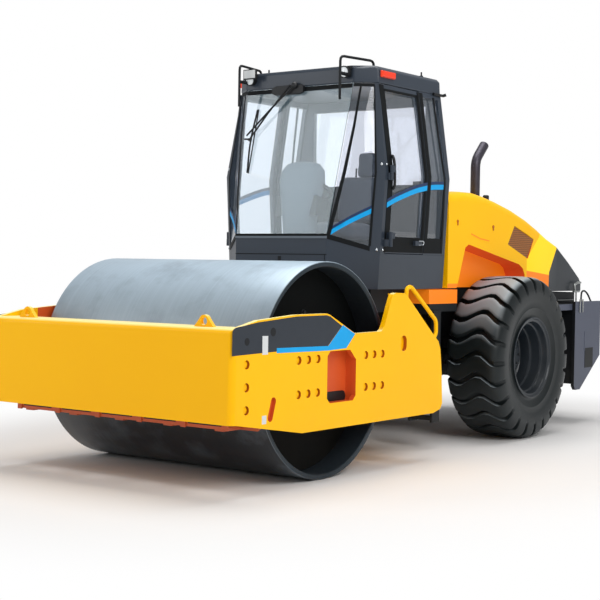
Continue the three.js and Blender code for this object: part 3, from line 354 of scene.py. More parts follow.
# Injection-moulded plastic: fine leathery grain, low sheen.
def mouldedPlastic(name, look):
    material, tree, place = textured(name)
    cells = add(tree, "TexVoronoi", {"Vector": place, "Scale": 1.0 / look["grain"]})
    cloud = noise(tree, place, 1 / 3, 3.0)
    gloss = spread(tree, cloud, look["roughness"] - 0.06, look["roughness"] + 0.06)
    surface(tree, blend(tree, cloud, look["colour"], look["shade"]),
            bumped(tree, cells.outputs["Distance"], 0.2, 0.0006),
            {"IOR": 1.49, "Specular IOR Level": 0.4, "Roughness": gloss})
    return material


# Self-adhesive vinyl foil: even colour, slight ripple where it is laid on by hand.
def adhesiveFoil(name, colour, shade):
    material, tree, place = textured(name)
    ripple = noise(tree, place, 0.08, 2.0)
    surface(tree, blend(tree, ripple, colour, shade), bumped(tree, ripple, 0.1, 0.0004),
            {"IOR": 1.5, "Roughness": 0.4, "Coat Weight": 0.05, "Specular IOR Level": 0.15})
    return material


# Woven seat cloth on foam: dull, with threads that catch a little sheen.
def wovenCloth(name, colour, shade):
    material, tree, place = textured(name)
    thread = 1.0 / 0.006          # real threads are 1 mm; drawn at 6 mm so the weave shows
    weave = add(tree, "TexChecker", {"Vector": place, "Scale": thread, "Color1": colour,
                                     "Color2": shade}).outputs
    worn = spread(tree, noise(tree, place, 1 / 9, 5.0), 0.8, 0.95)
    surface(tree, blend(tree, 0.25, weave["Color"], shade), bumped(tree, weave["Fac"], 0.3, 0.001),
            {"Sheen Weight": 0.3, "Roughness": worn})
    return material


# Perforated sheet, painted brown: rows of round holes that read darker than the sheet.
def perforatedSheet(name):
    material, tree, place = textured(name)
    holes = add(tree, "TexVoronoi", {"Vector": place, "Scale": 1.0 / 0.018,
                                     "Randomness": 0.0})     # real pitch is 8 mm; drawn at 18 mm
    sheet = spread(tree, holes.outputs["Distance"], 0.0, 1.0, 0.3, 0.42)
    surface(tree, blend(tree, sheet, "#5f3a18", "#a9682b"), bumped(tree, sheet, 0.5, 0.002),
            {"Roughness": 0.55, "Metallic": 0.2})
    return material


# Pressed acrylic lens: glows a little, with fine prism ribs moulded inside.
def acrylicLens(name, colour, shade, glow):
    material, tree, place = textured(name)
    ribs = add(tree, "TexWave", {"Vector": place, "Scale": 14.0, "Distortion": 0.0}).outputs["Fac"]
    surface(tree, blend(tree, ribs, colour, shade), bumped(tree, ribs, 0.3, 0.001),
            {"IOR": 1.49, "Roughness": 0.15, "Emission Color": colour, "Emission Strength": glow})
    return material


enamel = {key: sprayedEnamel(key + " sprayed enamel on steel", look) for key, look in enamelLooks.items()}
metal = {key: platedMetal(key + " metal", look) for key, look in metalLooks.items()}
drumSteel = rolledSteel("rolled mild steel polished by the ground")
drumEnd = platedMetal("flame-cut steel edge, oiled", metalLooks["edge"])
tyreRubber = vulcanisedRubber("vulcanised natural rubber", {
    "colour": "#0f1516", "dust": "#272e2f", "dustShare": 0.3, "roughness": 0.42, "sheen": 0.3,
    "skyTone": "#a1abb0", "hub": (0, 1.28175, 0.7465), "treadRadius": 0.738})
sealRubber = vulcanisedRubber("extruded EPDM seal rubber", {
    "colour": "#0b0e10", "dust": "#1c2022", "dustShare": 0.2, "roughness": 0.6, "sheen": 0.15})
glass = toughenedGlass("toughened float glass", ("#e6e8ee", "#dfe2ea"), "#b4c0c8", 0.05)
screenGlass = toughenedGlass("laminated windscreen glass", ("#e5ebef", "#dde5ea"), "#9fbcc6", 0.085)
blackPlastic = mouldedPlastic("moulded black ABS", {
    "colour": "#17191c", "shade": "#101214", "roughness": 0.5, "grain": 0.004})
greyPlastic = mouldedPlastic("moulded grey ABS trim", {
    "colour": "#6c747c", "shade": "#5f676f", "roughness": 0.6, "grain": 0.004})
engineCast = mouldedPlastic("cast iron with primer", {
    "colour": "#565b5e", "shade": "#45494c", "roughness": 0.7, "grain": 0.01})
blueFoil = adhesiveFoil("blue vinyl foil", "#12a4e6", "#0f9bdb")
navyFoil = adhesiveFoil("dark blue vinyl foil", "#2b3d62", "#263757")
greyFoil = adhesiveFoil("dark grey vinyl foil", "#33383f", "#2e333a")
whiteFoil = adhesiveFoil("blank white vinyl label", "#d6d8d8", "#cdd0d0")
seatCloth = wovenCloth("woven wool-blend seat cloth", "#555d68", "#3e454f")
grilleSheet = perforatedSheet("perforated steel sheet, brown enamel")
redLens = acrylicLens("red acrylic lens", "#e8401f", "#d93213", 0.25)
clearLens = acrylicLens("clear acrylic lens", "#eef2f4", "#dfe5e8", 0.12)
print("materials ready")


def newPiece(shape, name, material, sharp):
    mesh = bpy.data.meshes.new(name)
    shape.to_mesh(mesh)
    shape.free()
    for entry in material if isinstance(material, (list, tuple)) else [material]:
        mesh.materials.append(entry)
    mesh.polygons.foreach_set("use_smooth", [True] * len(mesh.polygons))
    if sharp:
        mesh.set_sharp_from_angle(angle=math.radians(sharp))
    piece = bpy.data.objects.new(name, mesh)
    bpy.context.scene.collection.objects.link(piece)
    return piece


def easeEdges(piece, width, angle, segments=2):
    edge = piece.modifiers.new("easedEdge", "BEVEL")
    edge.width = width
    edge.segments = segments
    edge.limit_method = "ANGLE"
    edge.angle_limit = math.radians(angle)
    return edge


def weighNormals(piece, weight=50):
    normals = piece.modifiers.new("normals", "WEIGHTED_NORMAL")
    normals.keep_sharp = True
    normals.weight = weight


def assign(piece, body):
    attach(piece, body)


def finishPiece(shape, name, material, body, sharp=32, bevel=0.0):
    bmesh.ops.remove_doubles(shape, verts=shape.verts, dist=0.00002)
    bmesh.ops.recalc_face_normals(shape, faces=shape.faces)
    piece = newPiece(shape, name, material, sharp)
    if bevel:
        easeEdges(piece, bevel, 40).harden_normals = True
    assign(piece, body)
    return piece


def addRings(shape, rings, closed=False, capped=True, index=0):
    rows = [[shape.verts.new(point) for point in ring] for ring in rings]
    count = len(rows[0])
    pairs = zip(rows, rows[1:] + rows[:1]) if closed else zip(rows, rows[1:])
    for low, high in pairs:
        for k in range(count):
            face = shape.faces.new((low[k], low[(k + 1) % count], high[(k + 1) % count], high[k]))
            face.material_index = index
    if capped and not closed:
        for row in (rows[0][::-1], rows[-1]):
            shape.faces.new(row).material_index = index


def addBox(shape, corner, opposite, index=0):
    (x0, x1), (y0, y1), (z0, z1) = (sorted(pair) for pair in zip(corner, opposite))
    rings = [[(x0, y0, z), (x1, y0, z), (x1, y1, z), (x0, y1, z)] for z in (z0, z1)]
    addRings(shape, rings, index=index)


def circle(middle, across, up, radius, count, turn=0.0):
    angles = [turn + 2 * math.pi * k / count for k in range(count)]
    return [middle + (across * math.cos(a) + up * math.sin(a)) * radius for a in angles]


# A profile of (radius, offset) pairs turned about an axle that runs along `axis` through `centre`.
def addTurned(shape, profile, centre, axis, segments, index=0, closed=False):
    along = Vector(axis).normalized()
    across = along.orthogonal().normalized()
    up = along.cross(across)
    rings = [circle(Vector(centre) + along * offset, across, up, radius, segments)
             for radius, offset in profile]
    addRings(shape, rings, closed=closed, index=index)


def roundedPath(points, bend, steps=6):
    points = [Vector(p) for p in points]
    line = [points[0]]
    for before, corner, after in zip(points, points[1:], points[2:]):
        into = (corner - before).normalized()
        out = (after - corner).normalized()
        start = corner - into * bend
        end = corner + out * bend
        for k in range(steps + 1):
            t = k / steps
            line.append(start * (1 - t) ** 2 + corner * 2 * t * (1 - t) + end * t ** 2)
    return line + [points[-1]]


def addTube(shape, line, radius, sideCount=14):
    across = Vector((0.13, 0.21, 0.97))
    rings = []
    for k, point in enumerate(line):
        along = (line[min(k + 1, len(line) - 1)] - line[max(k - 1, 0)]).normalized()
        across = (across - along * across.dot(along)).normalized()
        rings.append(circle(point, across, along.cross(across), radius, sideCount))
    addRings(shape, rings)


# Hexagon head on a pressed washer, standing on a face whose outward direction is `out`.
def addBolt(shape, place, out, size=0.024, turn=0.0, index=0):
    out = Vector(out).normalized()
    addTurned(shape, [(size * 1.05, -0.002), (size * 1.05, size * 0.12), (size * 0.9, size * 0.22)],
              place, out, 16, index)
    across = Matrix.Rotation(turn, 3, out) @ out.orthogonal().normalized()
    up = out.cross(across)
    rings = [circle(Vector(place) + out * size * height, across, up, size * reach, 6)
             for reach, height in ((0.82, 0.2), (0.82, 0.72), (0.68, 0.86))]
    addRings(shape, rings, index=index)


def smoothLine(points, perSpan=6):
    points = [Vector(p) for p in points]
    padded = [points[0] * 2 - points[1]] + points + [points[-1] * 2 - points[-2]]
    line = []
    for a, b, c, d in zip(padded, padded[1:], padded[2:], padded[3:]):
        for k in range(perSpan):
            t = k / perSpan
            line.append(0.5 * (2 * b + (c - a) * t + (2 * a - 5 * b + 4 * c - d) * t * t
                               + (3 * b - a - 3 * c + d) * t ** 3))
    return line + [points[-1]]


# Carried CAD nodes are welded, their edges eased, and given their finish.
def easeNode(name, material, bevel):
    piece = nodes[name]
    mesh = piece.data
    custom = mesh.attributes.get("custom_normal")
    if custom:
        mesh.attributes.remove(custom)
    mesh.materials.clear()
    mesh.materials.append(material)
    mesh.polygons.foreach_set("use_smooth", [True] * len(mesh.polygons))
    weld = piece.modifiers.new("weld", "WELD")
    weld.merge_threshold = 0.00005
    flat = piece.modifiers.new("flatten", "DECIMATE")
    flat.decimate_type = "DISSOLVE"
    flat.angle_limit = math.radians(0.6)
    if bevel:
        edge = easeEdges(piece, bevel, 32)
        edge.use_clamp_overlap = True
        edge.loop_slide = False
    weighNormals(piece, 60)


easedNodes = {                    # node stem: finish, edge radius in metres
    "front_beam": (enamel["frameYellow"], 0.006), "rear_crossbeam": (enamel["frameYellow"], 0.006),
    "side_plate": (enamel["frameYellow"], 0.004), "drum_head": (enamel["paintedShadeBlack"], 0.004),
    "drum_carrier": (enamel["paintedShadeBrown"], 0.004), "scraper_front": (enamel["paintedShadeBrown"], 0.003),
    "scraper_rear": (enamel["paintedShadeBrown"], 0.003), "centre_link": (enamel["graphite"], 0.006),
    "hinge_yoke": (enamel["black"], 0.006), "chassis": (enamel["black"], 0.005),
    "rear_axle": (enamel["black"], 0.006), "engine": (engineCast, 0.008),
    "cab_base": (enamel["graphite"], 0.008), "cab_rear_wall": (enamel["graphite"], 0.005),
    "cab_roof": (enamel["graphite"], 0.012), "front_post": (enamel["graphite"], 0.005),
    "windshield": (screenGlass, 0), "rear_glass": (glass, 0), "corner_glass": (glass, 0),
    "quarter_glass": (glass, 0), "door_glass": (glass, 0), "door": (enamel["graphite"], 0.004),
    "steering_column": (blackPlastic, 0.004), "mirror_arm": (enamel["black"], 0),
    "counterweight": (enamel["ballast"], 0.006), "side_platform": (enamel["black"], 0.004),
    "hood": (enamel["yellow"], 0.008), "hood_tail": (enamel["tail"], 0.012),
    "side_grille": (grilleSheet, 0.003), "exhaust_stack": (metal["exhaust"], 0),
    "rim": (enamel["rim"], 0.003), "tyre": (tyreRubber, 0), "seat": (seatCloth, 0.01),
    "drum_shell": (drumSteel, 0.004), "steer_barrel": (enamel["black"], 0.003),
    "steer_rod": (metal["chrome"], 0.002), "handrail": (enamel["yellow"], 0),
}


def easeNodes():
    for name in nodes:
        stem = name.removesuffix("_left").removesuffix("_right")
        easeNode(name, *easedNodes[stem])


easeNodes()
print("carried nodes finished")


drum = {
    "radius": 0.8, "half": 1.065, "wall": 0.04, "segments": 192, "edge": 0.007,
    "axle": (0.0, -1.91825, 0.8),
    "bolts": 16, "bolt": 0.022, "boltCircle": 0.42, "boltInset": 0.214,
}


def drumShell():
    r, half, inner, e = drum["radius"], drum["half"], drum["radius"] - drum["wall"], drum["edge"]
    outside = [(r - e, -half), (r - e * 0.3, -half + e * 0.3), (r, -half + e), (r, -half / 3),
               (r, half / 3), (r, half - e), (r - e * 0.3, half - e * 0.3), (r - e, half)]
    shape = bmesh.new()
    profile = outside + [(inner + e, half), (inner, half - e), (inner, -half + e), (inner + e, -half)]
    addTurned(shape, profile, drum["axle"], (1, 0, 0), drum["segments"], closed=True)
    for face in shape.faces:
        middle = face.calc_center_median()
        if math.hypot(middle.y - drum["axle"][1], middle.z - drum["axle"][2]) < r - e * 1.1:
            face.material_index = 1
    piece = finishPiece(shape, "rolledDrumShell", [drumSteel, drumEnd], "drum", 25)
    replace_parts(piece, "drum_shell")


# Hub bolts on the recessed end plates, all painted black.
def drumEnds():
    for name, side in sides:
        shape = bmesh.new()
        for k in range(drum["bolts"]):
            a = 2 * math.pi * k / drum["bolts"]
            place = Vector(drum["axle"]) + Vector((side * (drum["half"] - drum["boltInset"]),
                                                   drum["boltCircle"] * math.cos(a),
                                                   drum["boltCircle"] * math.sin(a)))
            addBolt(shape, place, (side, 0, 0), drum["bolt"], a)
        finishPiece(shape, "drumEndBolts_" + name, enamel["black"], "drum", 30)


drumShell()
drumEnds()
print("drum ready")


tyre = {
    "centre": 0.885, "axleY": 1.28175, "radius": 0.7465,
    "lugs": 24, "depth": 0.046,
    "steps": ((0.0, 0.5), (0.018, 0.0), (0.215, 0.0), (0.235, 0.5), (0.25, 0.95), (0.285, 1.0), (0.42, 1.0),
              (0.6, 1.0), (0.78, 1.0), (0.95, 1.0), (0.985, 0.95)),    # share of a pitch, lug height
    "wave": ((-1.0, -0.012), (-0.58, -0.05), (0.3, 0.046), (1.0, -0.05)),
    # radius, offset towards the outer side, groove depth share
    "flank": ((0.345, 0.225, 0), (0.352, 0.236, 0), (0.372, 0.239, 0), (0.385, 0.234, 0), (0.4, 0.237, 0),
              (0.45, 0.252, 0), (0.455, 0.256, 0), (0.462, 0.2565, 0), (0.468, 0.2545, 0), (0.52, 0.267, 0),
              (0.56, 0.2735, 0), (0.59, 0.276, 0), (0.61, 0.277, 0.1), (0.63, 0.276, 0.35),
              (0.662, 0.271, 0.7), (0.69, 0.263, 0.9), (0.712, 0.25, 1), (0.726, 0.234, 1),
              (0.736, 0.214, 1), (0.7405, 0.188, 1), (0.7435, 0.15, 1), (0.7455, 0.1, 1), (0.746, 0.05, 1)),
}


def waveAt(share):
    for (a, low), (b, high) in zip(tyre["wave"], tyre["wave"][1:]):
        if share <= b:
            t = (share - a) / (b - a)
            t = t * t * (3 - 2 * t)
            return low + (high - low) * t
    return tyre["wave"][-1][1]


# One closed skin: round the tyre go the lugs, and each row across it is turned by the wave, so the
# grooves run from shoulder to shoulder as one bent line.
def makeTyre(name, side):
    flank = tyre["flank"]
    rows = [(r, -x, d) for r, x, d in flank]
    rows += [(0.7462, 0.0, 1)] + [(r, x, d) for r, x, d in reversed(flank)]
    pitch = 2 * math.pi / tyre["lugs"]
    rings = []
    for radius, offset, depth in rows:
        shift = waveAt(max(-1.0, min(1.0, offset / 0.24))) / tyre["radius"]
        ring = []
        for lug in range(tyre["lugs"]):
            for share, height in tyre["steps"]:
                a = (lug + share) * pitch + shift
                r = radius - tyre["depth"] * depth * (1 - height)
                inset = 0.016 * depth * (1 - height) if radius < 0.735 else 0.0
                x = tyre["centre"] + offset - math.copysign(inset, offset)
                ring.append((side * x, tyre["axleY"] - r * math.cos(a), tyre["radius"] + r * math.sin(a)))
        rings.append(ring)
    shape = bmesh.new()
    addRings(shape, rings, closed=True)
    piece = finishPiece(shape, "ribbedTyre_" + name, tyreRubber, "wheel_" + name, 40)
    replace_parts(piece, "tyre_" + name)


rim = {
    # radius, offset from the tyre's middle towards the outer side
    "barrel": ((0.372, 0.242), (0.374, 0.249), (0.368, 0.252), (0.36, 0.25), (0.352, 0.239), (0.334, 0.234),
               (0.33, 0.225), (0.328, 0.185), (0.322, 0.175), (0.309, 0.17), (0.305, 0.16), (0.304, 0.09),
               (0.298, 0.078), (0.285, 0.072), (0.28, 0.06), (0.278, -0.02), (0.268, -0.034),
               (0.215, -0.038), (0.175, -0.036), (0.172, -0.03), (0.17, 0.02), (0.16, 0.034), (0.148, 0.036),
               (0.135, 0.04), (0.118, 0.042), (0.114, 0.052), (0.108, 0.056), (0.03, 0.058), (0.0, 0.058)),
    "back": ((0.0, -0.05), (0.295, -0.05), (0.3, -0.06), (0.303, -0.22), (0.35, -0.242), (0.372, -0.252),
             (0.376, -0.242), (0.346, -0.228), (0.344, 0.228)),
    # how many, circle radius, offset, size and first angle of the wheel nuts and the hub's bolts
    "fasteners": ((12, 0.236, -0.036, 0.021, 0.0), (6, 0.085, 0.058, 0.011, 0.2)),
}


def makeRim(name, side):
    centre = (side * tyre["centre"], tyre["axleY"], tyre["radius"])
    shape = bmesh.new()
    profile = [(max(r, 0.0005), x) for r, x in rim["barrel"] + rim["back"]]
    addTurned(shape, profile, centre, (side, 0, 0), 96, closed=True)
    for count, reach, offset, size, first in rim["fasteners"]:
        for k in range(count):
            a = 2 * math.pi * k / count + first
            place = Vector(centre) + Vector((side * offset, reach * math.cos(a), reach * math.sin(a)))
            addBolt(shape, place, (side, 0, 0), size, a, index=1)
    piece = finishPiece(shape, "steppedRim_" + name, [enamel["rim"], enamel["black"]], "wheel_" + name,
                        30)
    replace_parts(piece, "rim_" + name)


for name, side in sides:
    makeTyre(name, side)
    makeRim(name, side)
print("wheels ready")


# Hood, ballast and steps keep the node's own faces, with a finish chosen for each face.
weldReach = 0.00005
flatAngle = math.radians(0.6)


def cleanCopy(name):                  # a carried node's mesh, welded, with its flat facets joined
    shape = bmesh.new()
    shape.from_mesh(nodes[name].data)
    bmesh.ops.remove_doubles(shape, verts=shape.verts, dist=weldReach)
    bmesh.ops.dissolve_limit(shape, angle_limit=flatAngle, verts=shape.verts, edges=shape.edges)
    return shape


def splitAt(shape, place, direction):
    bmesh.ops.bisect_plane(shape, geom=shape.verts[:] + shape.edges[:] + shape.faces[:],
                           plane_co=place, plane_no=direction, dist=0.0002)


def easeShape(shape, name, materials, body, bevel, segments=2):
    piece = newPiece(shape, name, materials, 30)
    easeEdges(piece, bevel, 30, segments)
    weighNormals(piece)
    assign(piece, body)
    return piece


# Splits a copy of a carried node at `cuts` and lets `choose` pick a finish for each face from the
# face's middle and outward direction.
def repaintNode(name, newName, body, materials, choose, bevel, cuts=()):
    shape = cleanCopy(name)
    for place, direction in cuts:
        splitAt(shape, place, direction)
    for face in shape.faces:
        face.normal_update()
        face.material_index = choose(face.calc_center_median(), face.normal)
    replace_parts(easeShape(shape, newName, materials, body, bevel, 3), name)


hood = {
    "flank": 0.8, "wall": 0.59, "floor": 1.385, "legFoot": 1.425,
    "bend": ((2.071, 1.888), (1.787, 1.66)),     # y, z of the crease where the flank turns inward
    "under": ((1.865, 1.539), (2.226, 1.512)),
}


def creaseSide(line, y, z):
    (y0, z0), (y1, z1) = line
    return (y1 - y0) * (z - z0) - (z1 - z0) * (y - y0)


def creaseCut(line):
    (y0, z0), (y1, z1) = line
    return (0, y0, z0), Vector((0, z1 - z0, y0 - y1)).normalized()


# Painted shade and highlight per face: 1 is the orange shade on the skirts and the arch's inner wall, 2 the
# red shade on the arch's soffit, 3 the painted highlight on the facet above the rear crease.
def hoodFinish(middle, normal):
    if middle.y > 1.79 and abs(middle.x) > 0.68 and abs(normal.x) > 0.6:
        if creaseSide(hood["under"], middle.y, middle.z) < 0:
            return 1
        if creaseSide(hood["bend"], middle.y, middle.z) > 0:
            return 3
    if middle.z < hood["legFoot"] and middle.y < 1.0 and abs(middle.x) > 0.6:
        return 1
    if abs(abs(middle.x) - hood["wall"]) < 0.03 and abs(normal.x) > 0.8 and middle.y < 1.8:
        return 1
    if hood["wall"] < abs(middle.x) < hood["flank"] - 0.002 and middle.z < 1.81 and abs(normal.x) < 0.5:
        return 2
    return 0


repaintNode("hood", "enamelledHood", "hood_assembly",
            [enamel["yellow"], enamel["arch"], enamel["archTop"], enamel["paintedHighlightYellow"]], hoodFinish,
            0.008, cuts=(creaseCut(hood["bend"]), creaseCut(hood["under"]),
                                         ((0, 0, hood["legFoot"]), Vector((0, 0, 1)))))


def ballastFinish(middle, normal):
    return 1 if abs(middle.x) < 0.934 or middle.y < 2.56 and abs(normal.x) < 0.5 else 0


repaintNode("counterweight", "castBallast", "rear_frame", [enamel["ballast"], enamel["black"]],
            ballastFinish, 0.005)


# Faces above 1.25 m get the orange painted shade of the skirt over the steps; those below are black.
def platformFinish(middle, normal):
    return 0 if middle.z > 1.25 else 1


for name, side in sides:
    repaintNode("side_platform_" + name, "boardingSteps_" + name, "rear_frame",
                [enamel["arch"], enamel["black"]], platformFinish, 0.003,
                cuts=(((0, 0, 1.25), Vector((0, 0, 1))),))
print("hood, ballast and steps ready")


# Cut copies of carried nodes.
def bakedCut(name, cutter):
    bmesh.ops.recalc_face_normals(cutter, faces=cutter.faces)
    work = newPiece(cleanCopy(name), "work", [], 0)
    tool = newPiece(cutter, "tool", [], 0)
    boolean = work.modifiers.new("cut", "BOOLEAN")
    boolean.operation = "DIFFERENCE"
    boolean.solver = "EXACT"
    boolean.object = tool
    done = work.evaluated_get(bpy.context.evaluated_depsgraph_get())
    shape = bmesh.new()
    shape.from_mesh(done.to_mesh())
    done.to_mesh_clear()
    bpy.data.objects.remove(work)
    bpy.data.objects.remove(tool)
    return shape


def paintFaces(shape, choose):
    bmesh.ops.remove_doubles(shape, verts=shape.verts, dist=weldReach)
    shape.normal_update()
    for face in shape.faces:
        face.material_index = choose(face.calc_center_median(), face.normal)


# The drum frame's side plates have bolt pockets, foils and a window pocket. Their inner face, the window's
# reveals and the slot take the orange painted shade, and the bolt pockets' and oval's walls a brown painted
# shade.
plate = {
    "face": 1.175, "axleY": drum["axle"][1],
    "rowsZ": (0.903, 0.663), "rowsY": (-0.483, -0.368, -0.253, 0.363, 0.475, 0.589),
    "columnY": -1.066, "columnZ": (1.056, 0.903, 0.75, 0.597),
    "pocket": 0.0305, "pocketDepth": 0.025, "dome": 0.028,
    "slot": ((-0.768, 0.638), (-0.802, 0.528)), "slotHalf": 0.028,
    "oval": ((0.894, 0.99), (0.894, 0.95)), "ovalHalf": 0.042,
    "window": (-0.136, 0.231, 0.575, 0.952),
    "pocketBack": 1.077, "pocketFront": 1.134, "liningY": -2.72,
}


def boltPlaces():
    rows = [(y, z) for z in plate["rowsZ"] for y in plate["rowsY"]]
    return rows + [(plate["columnY"], z) for z in plate["columnZ"]]


def capsule(ends, half, steps=10):
    (y0, z0), (y1, z1) = ends
    base = math.atan2(z1 - z0, y1 - y0)
    points = []
    for (y, z), start in (((y1, z1), base - math.pi / 2), ((y0, z0), base + math.pi / 2)):
        for k in range(steps + 1):
            a = start + math.pi * k / steps
            points.append((y + half * math.cos(a), z + half * math.sin(a)))
    return points


def addOutline(shape, outline, x0, x1, index=0):
    rings = [[(x, plate["axleY"] + y, z) for y, z in outline] for x in (x0, x1)]
    addRings(shape, rings, index=index)


def makeSidePlate(name, side):
    face = plate["face"]
    cutter = bmesh.new()
    for y, z in boltPlaces():
        centre = (side * (face - plate["pocketDepth"]), plate["axleY"] + y, z)
        addTurned(cutter, [(plate["pocket"], 0), (plate["pocket"], 0.1)], centre, (side, 0, 0), 20)
    for ends, half in ((plate["slot"], plate["slotHalf"]), (plate["oval"], plate["ovalHalf"])):
        addOutline(cutter, capsule(ends, half), side * (face - 0.03), side * (face + 0.1))
    shape = bakedCut("side_plate_" + name, cutter)
    splitAt(shape, (0, plate["liningY"], 0), (0, 1, 0))

    # 0 is the plain yellow, 1 the orange painted shade, 2 the brown painted shade.
    def choose(middle, normal):
        if normal.x * side < -0.9 and middle.y > plate["liningY"] and abs(middle.x) < face - 0.02:
            return 1
        inside = face - 0.035 < abs(middle.x) < face - 0.001
        if not inside:
            return 0
        y, z = middle.y - plate["axleY"], middle.z
        near = any(math.hypot(y - a, z - b) < plate["pocket"] * 1.05 for a, b in boltPlaces())
        (a, b), (c, d) = plate["slot"]
        nearSlot = math.hypot(y - (a + c) / 2, z - (b + d) / 2) < 0.1
        nearOval = math.hypot(y - plate["oval"][0][0], z - 0.97) < 0.06
        inWindow = plate["window"][0] - 0.01 < y < plate["window"][1] + 0.01 and z < 0.96
        if near or nearOval and abs(normal.x) < 0.5:
            return 2
        if nearOval:
            return 0
        return 1 if nearSlot or inWindow else 0

    paintFaces(shape, choose)
    finishes = [enamel["frameYellow"], enamel["pocket"], enamel["boltPocket"]]
    piece = easeShape(shape, "drumSidePlate_" + name, finishes, "drum_frame", 0.003)
    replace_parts(piece, "side_plate_" + name)

    heads = bmesh.new()
    for y, z in boltPlaces():
        centre = (side * (face - plate["pocketDepth"]), plate["axleY"] + y, z)
        r = plate["dome"]
        profile = [(r, -0.001), (r, 0.005), (r * 0.94, 0.009), (r * 0.75, 0.012), (r * 0.45, 0.014),
                   (r * 0.1, 0.015)]
        dark = y < -1 and z > 1
        addTurned(heads, profile, centre, (side, 0, 0), 20, index=1 if dark else 0)
    finishPiece(heads, "plateBolts_" + name, [enamel["frameYellow"], enamel["black"]], "drum_frame",
                35)


# The carrier's flange behind the window is pressed in as a pocket lined with orange painted shade; its dark
# slot is a black inlay that stands in for the shade of the void below.
def makeCarrier(name, side):
    y0, y1, z0, z1 = plate["window"]
    lap, gap = 0.02, 0.004             # the pocket's walls lie behind the plate, just clear of its edge
    back, front = plate["pocketBack"], plate["pocketFront"]
    axleY = plate["axleY"]
    cutter = bmesh.new()
    addBox(cutter, (side * back, axleY + y0 - lap, z0 - lap), (side * 1.3, axleY + y1 + lap, z1 + lap))
    shape = bakedCut("drum_carrier_" + name, cutter)
    paintFaces(shape, lambda middle, normal: 0)
    for low, high in (
        ((back - gap, y0 - lap, z0 - lap), (back + 0.003, y1 + lap, z1 + lap)),
        ((back, y0 - lap, z0 - lap), (front, y0 - 0.006, z1 + lap)),
        ((back, y1 + gap, z0 - lap), (front, y1 + lap, z1 + lap)),
        ((back, y0 - 0.006, z0 - lap), (front, y1 + gap, z0 - gap)),
        ((back, y0 - 0.006, z1 + gap), (front, y1 + gap, z1 + lap)),
    ):
        addBox(shape, (side * low[0], axleY + low[1], low[2]), (side * high[0], axleY + high[1], high[2]))
    slot = capsule(((y0 + 0.02, z0 + 0.025), (y1 - 0.042, z0 + 0.025)), 0.044)
    addOutline(shape, slot, side * (back + 0.001), side * (back + 0.006), index=1)
    bmesh.ops.recalc_face_normals(shape, faces=shape.faces)
    piece = easeShape(shape, "pocketedCarrier_" + name, [enamel["pocket"], enamel["black"]], "drum_frame",
                      0.002)
    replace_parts(piece, "drum_carrier_" + name)


foil = {
    "lift": 0.0003,
    # y from the drum's axle and height, on the plate's outer face
    "grey": ((-1.2215, 0.967), (-0.135, 0.99), (0.042, 1.13), (-0.108, 1.203), (-0.155, 1.213),
             (-0.518, 1.212), (-0.945, 1.183), (-1.18, 1.154), (-1.205, 1.146), (-1.2185, 1.128)),
    "stripe": ((-0.74, 0.966), (-0.13, 0.958), (-0.13, 0.991), (-0.74, 1.001)),
    "band": ((-0.13, 0.958), (0.1, 0.966), (0.213, 1.066), (0.052, 1.137), (-0.13, 0.991)),
    "label": ((-0.9, 0.962), (-0.838, 0.962), (-0.838, 1.088), (-0.9, 1.089)),
    "spots": ((-0.782, 1.113, 0.03), (-1.066, 1.056, 0.026)),
    "tag": ((-0.893, 0.49), (-0.845, 0.49), (-0.845, 0.548), (-0.893, 0.548)),
}


def makeFoils(name, side):
    face = plate["face"]
    for key, material, layer in (("grey", greyFoil, 1), ("stripe", blueFoil, 2), ("band", blueFoil, 2),
                                 ("label", whiteFoil, 3), ("tag", whiteFoil, 1)):
        shape = bmesh.new()
        addOutline(shape, foil[key], side * (face - 0.001), side * (face + foil["lift"] * layer))
        finishPiece(shape, key + "Foil_" + name, material, "drum_frame",
                    20)
    # Black discs on the plate stand in as painted shade for the inside of two holes.
    shape = bmesh.new()
    for y, z, r in foil["spots"]:
        addTurned(shape, [(r, 0), (r, foil["lift"] * 3)], (side * face, plate["axleY"] + y, z),
                  (side, 0, 0), 24)
    finishPiece(shape, "plateHoleShadeDiscs_" + name, enamel["black"], "drum_frame", 30)


# Folded angle that carries the scraper under the front beam, with the slots it is adjusted by; the slots are
# black strips, painted shade standing in for the openings.
def makeScraperRail():
    rail = {"half": 1.03, "front": -2.995, "thick": 0.012, "low": 0.452, "high": 0.508, "slots": 5}
    shape = bmesh.new()
    addBox(shape, (-rail["half"], rail["front"], rail["low"]), (rail["half"], rail["front"] + rail["thick"],
                                                                rail["high"]))
    step = 2 * rail["half"] / rail["slots"]
    for k in range(rail["slots"]):
        x = -rail["half"] + step * (k + 0.5)
        addBox(shape, (x - 0.15, rail["front"] - 0.002, rail["low"] + 0.022),
               (x + 0.15, rail["front"] + 0.002, rail["low"] + 0.048), index=1)
        addBox(shape, (x - 0.21, rail["front"] - 0.012, rail["low"] - 0.006),
               (x - 0.165, rail["front"], rail["high"] - 0.004))
    finishPiece(shape, "scraperRail", [enamel["paintedShadeBrown"], enamel["black"]], "drum_frame",
                30, 0.002)


makeScraperRail()
for name, side in sides:
    makeSidePlate(name, side)
    makeCarrier(name, side)
    makeFoils(name, side)
print("drum frame ready")


# The cab's side bulges at the waist and its front corners are cut on a slant.
cab = {
    "floor": 1.38, "waist": 2.33, "edge": 3.06, "halfLow": 0.775, "halfWaist": 0.83, "halfTop": 0.722,
    "noseZ": 1.805, "noseY": -1.09825, "lean": 0.232, "noseLow": 0.47, "noseTop": 0.556,
    "sideFrontY": -0.79825,
}


def mapped(value, a, b, low, high):
    return low + (high - low) * (value - a) / (b - a)


def cabHalf(z):
    if z < cab["waist"]:
        return mapped(z, cab["floor"], cab["waist"], cab["halfLow"], cab["halfWaist"])
    return mapped(z, cab["waist"], cab["edge"], cab["halfWaist"], cab["halfTop"])


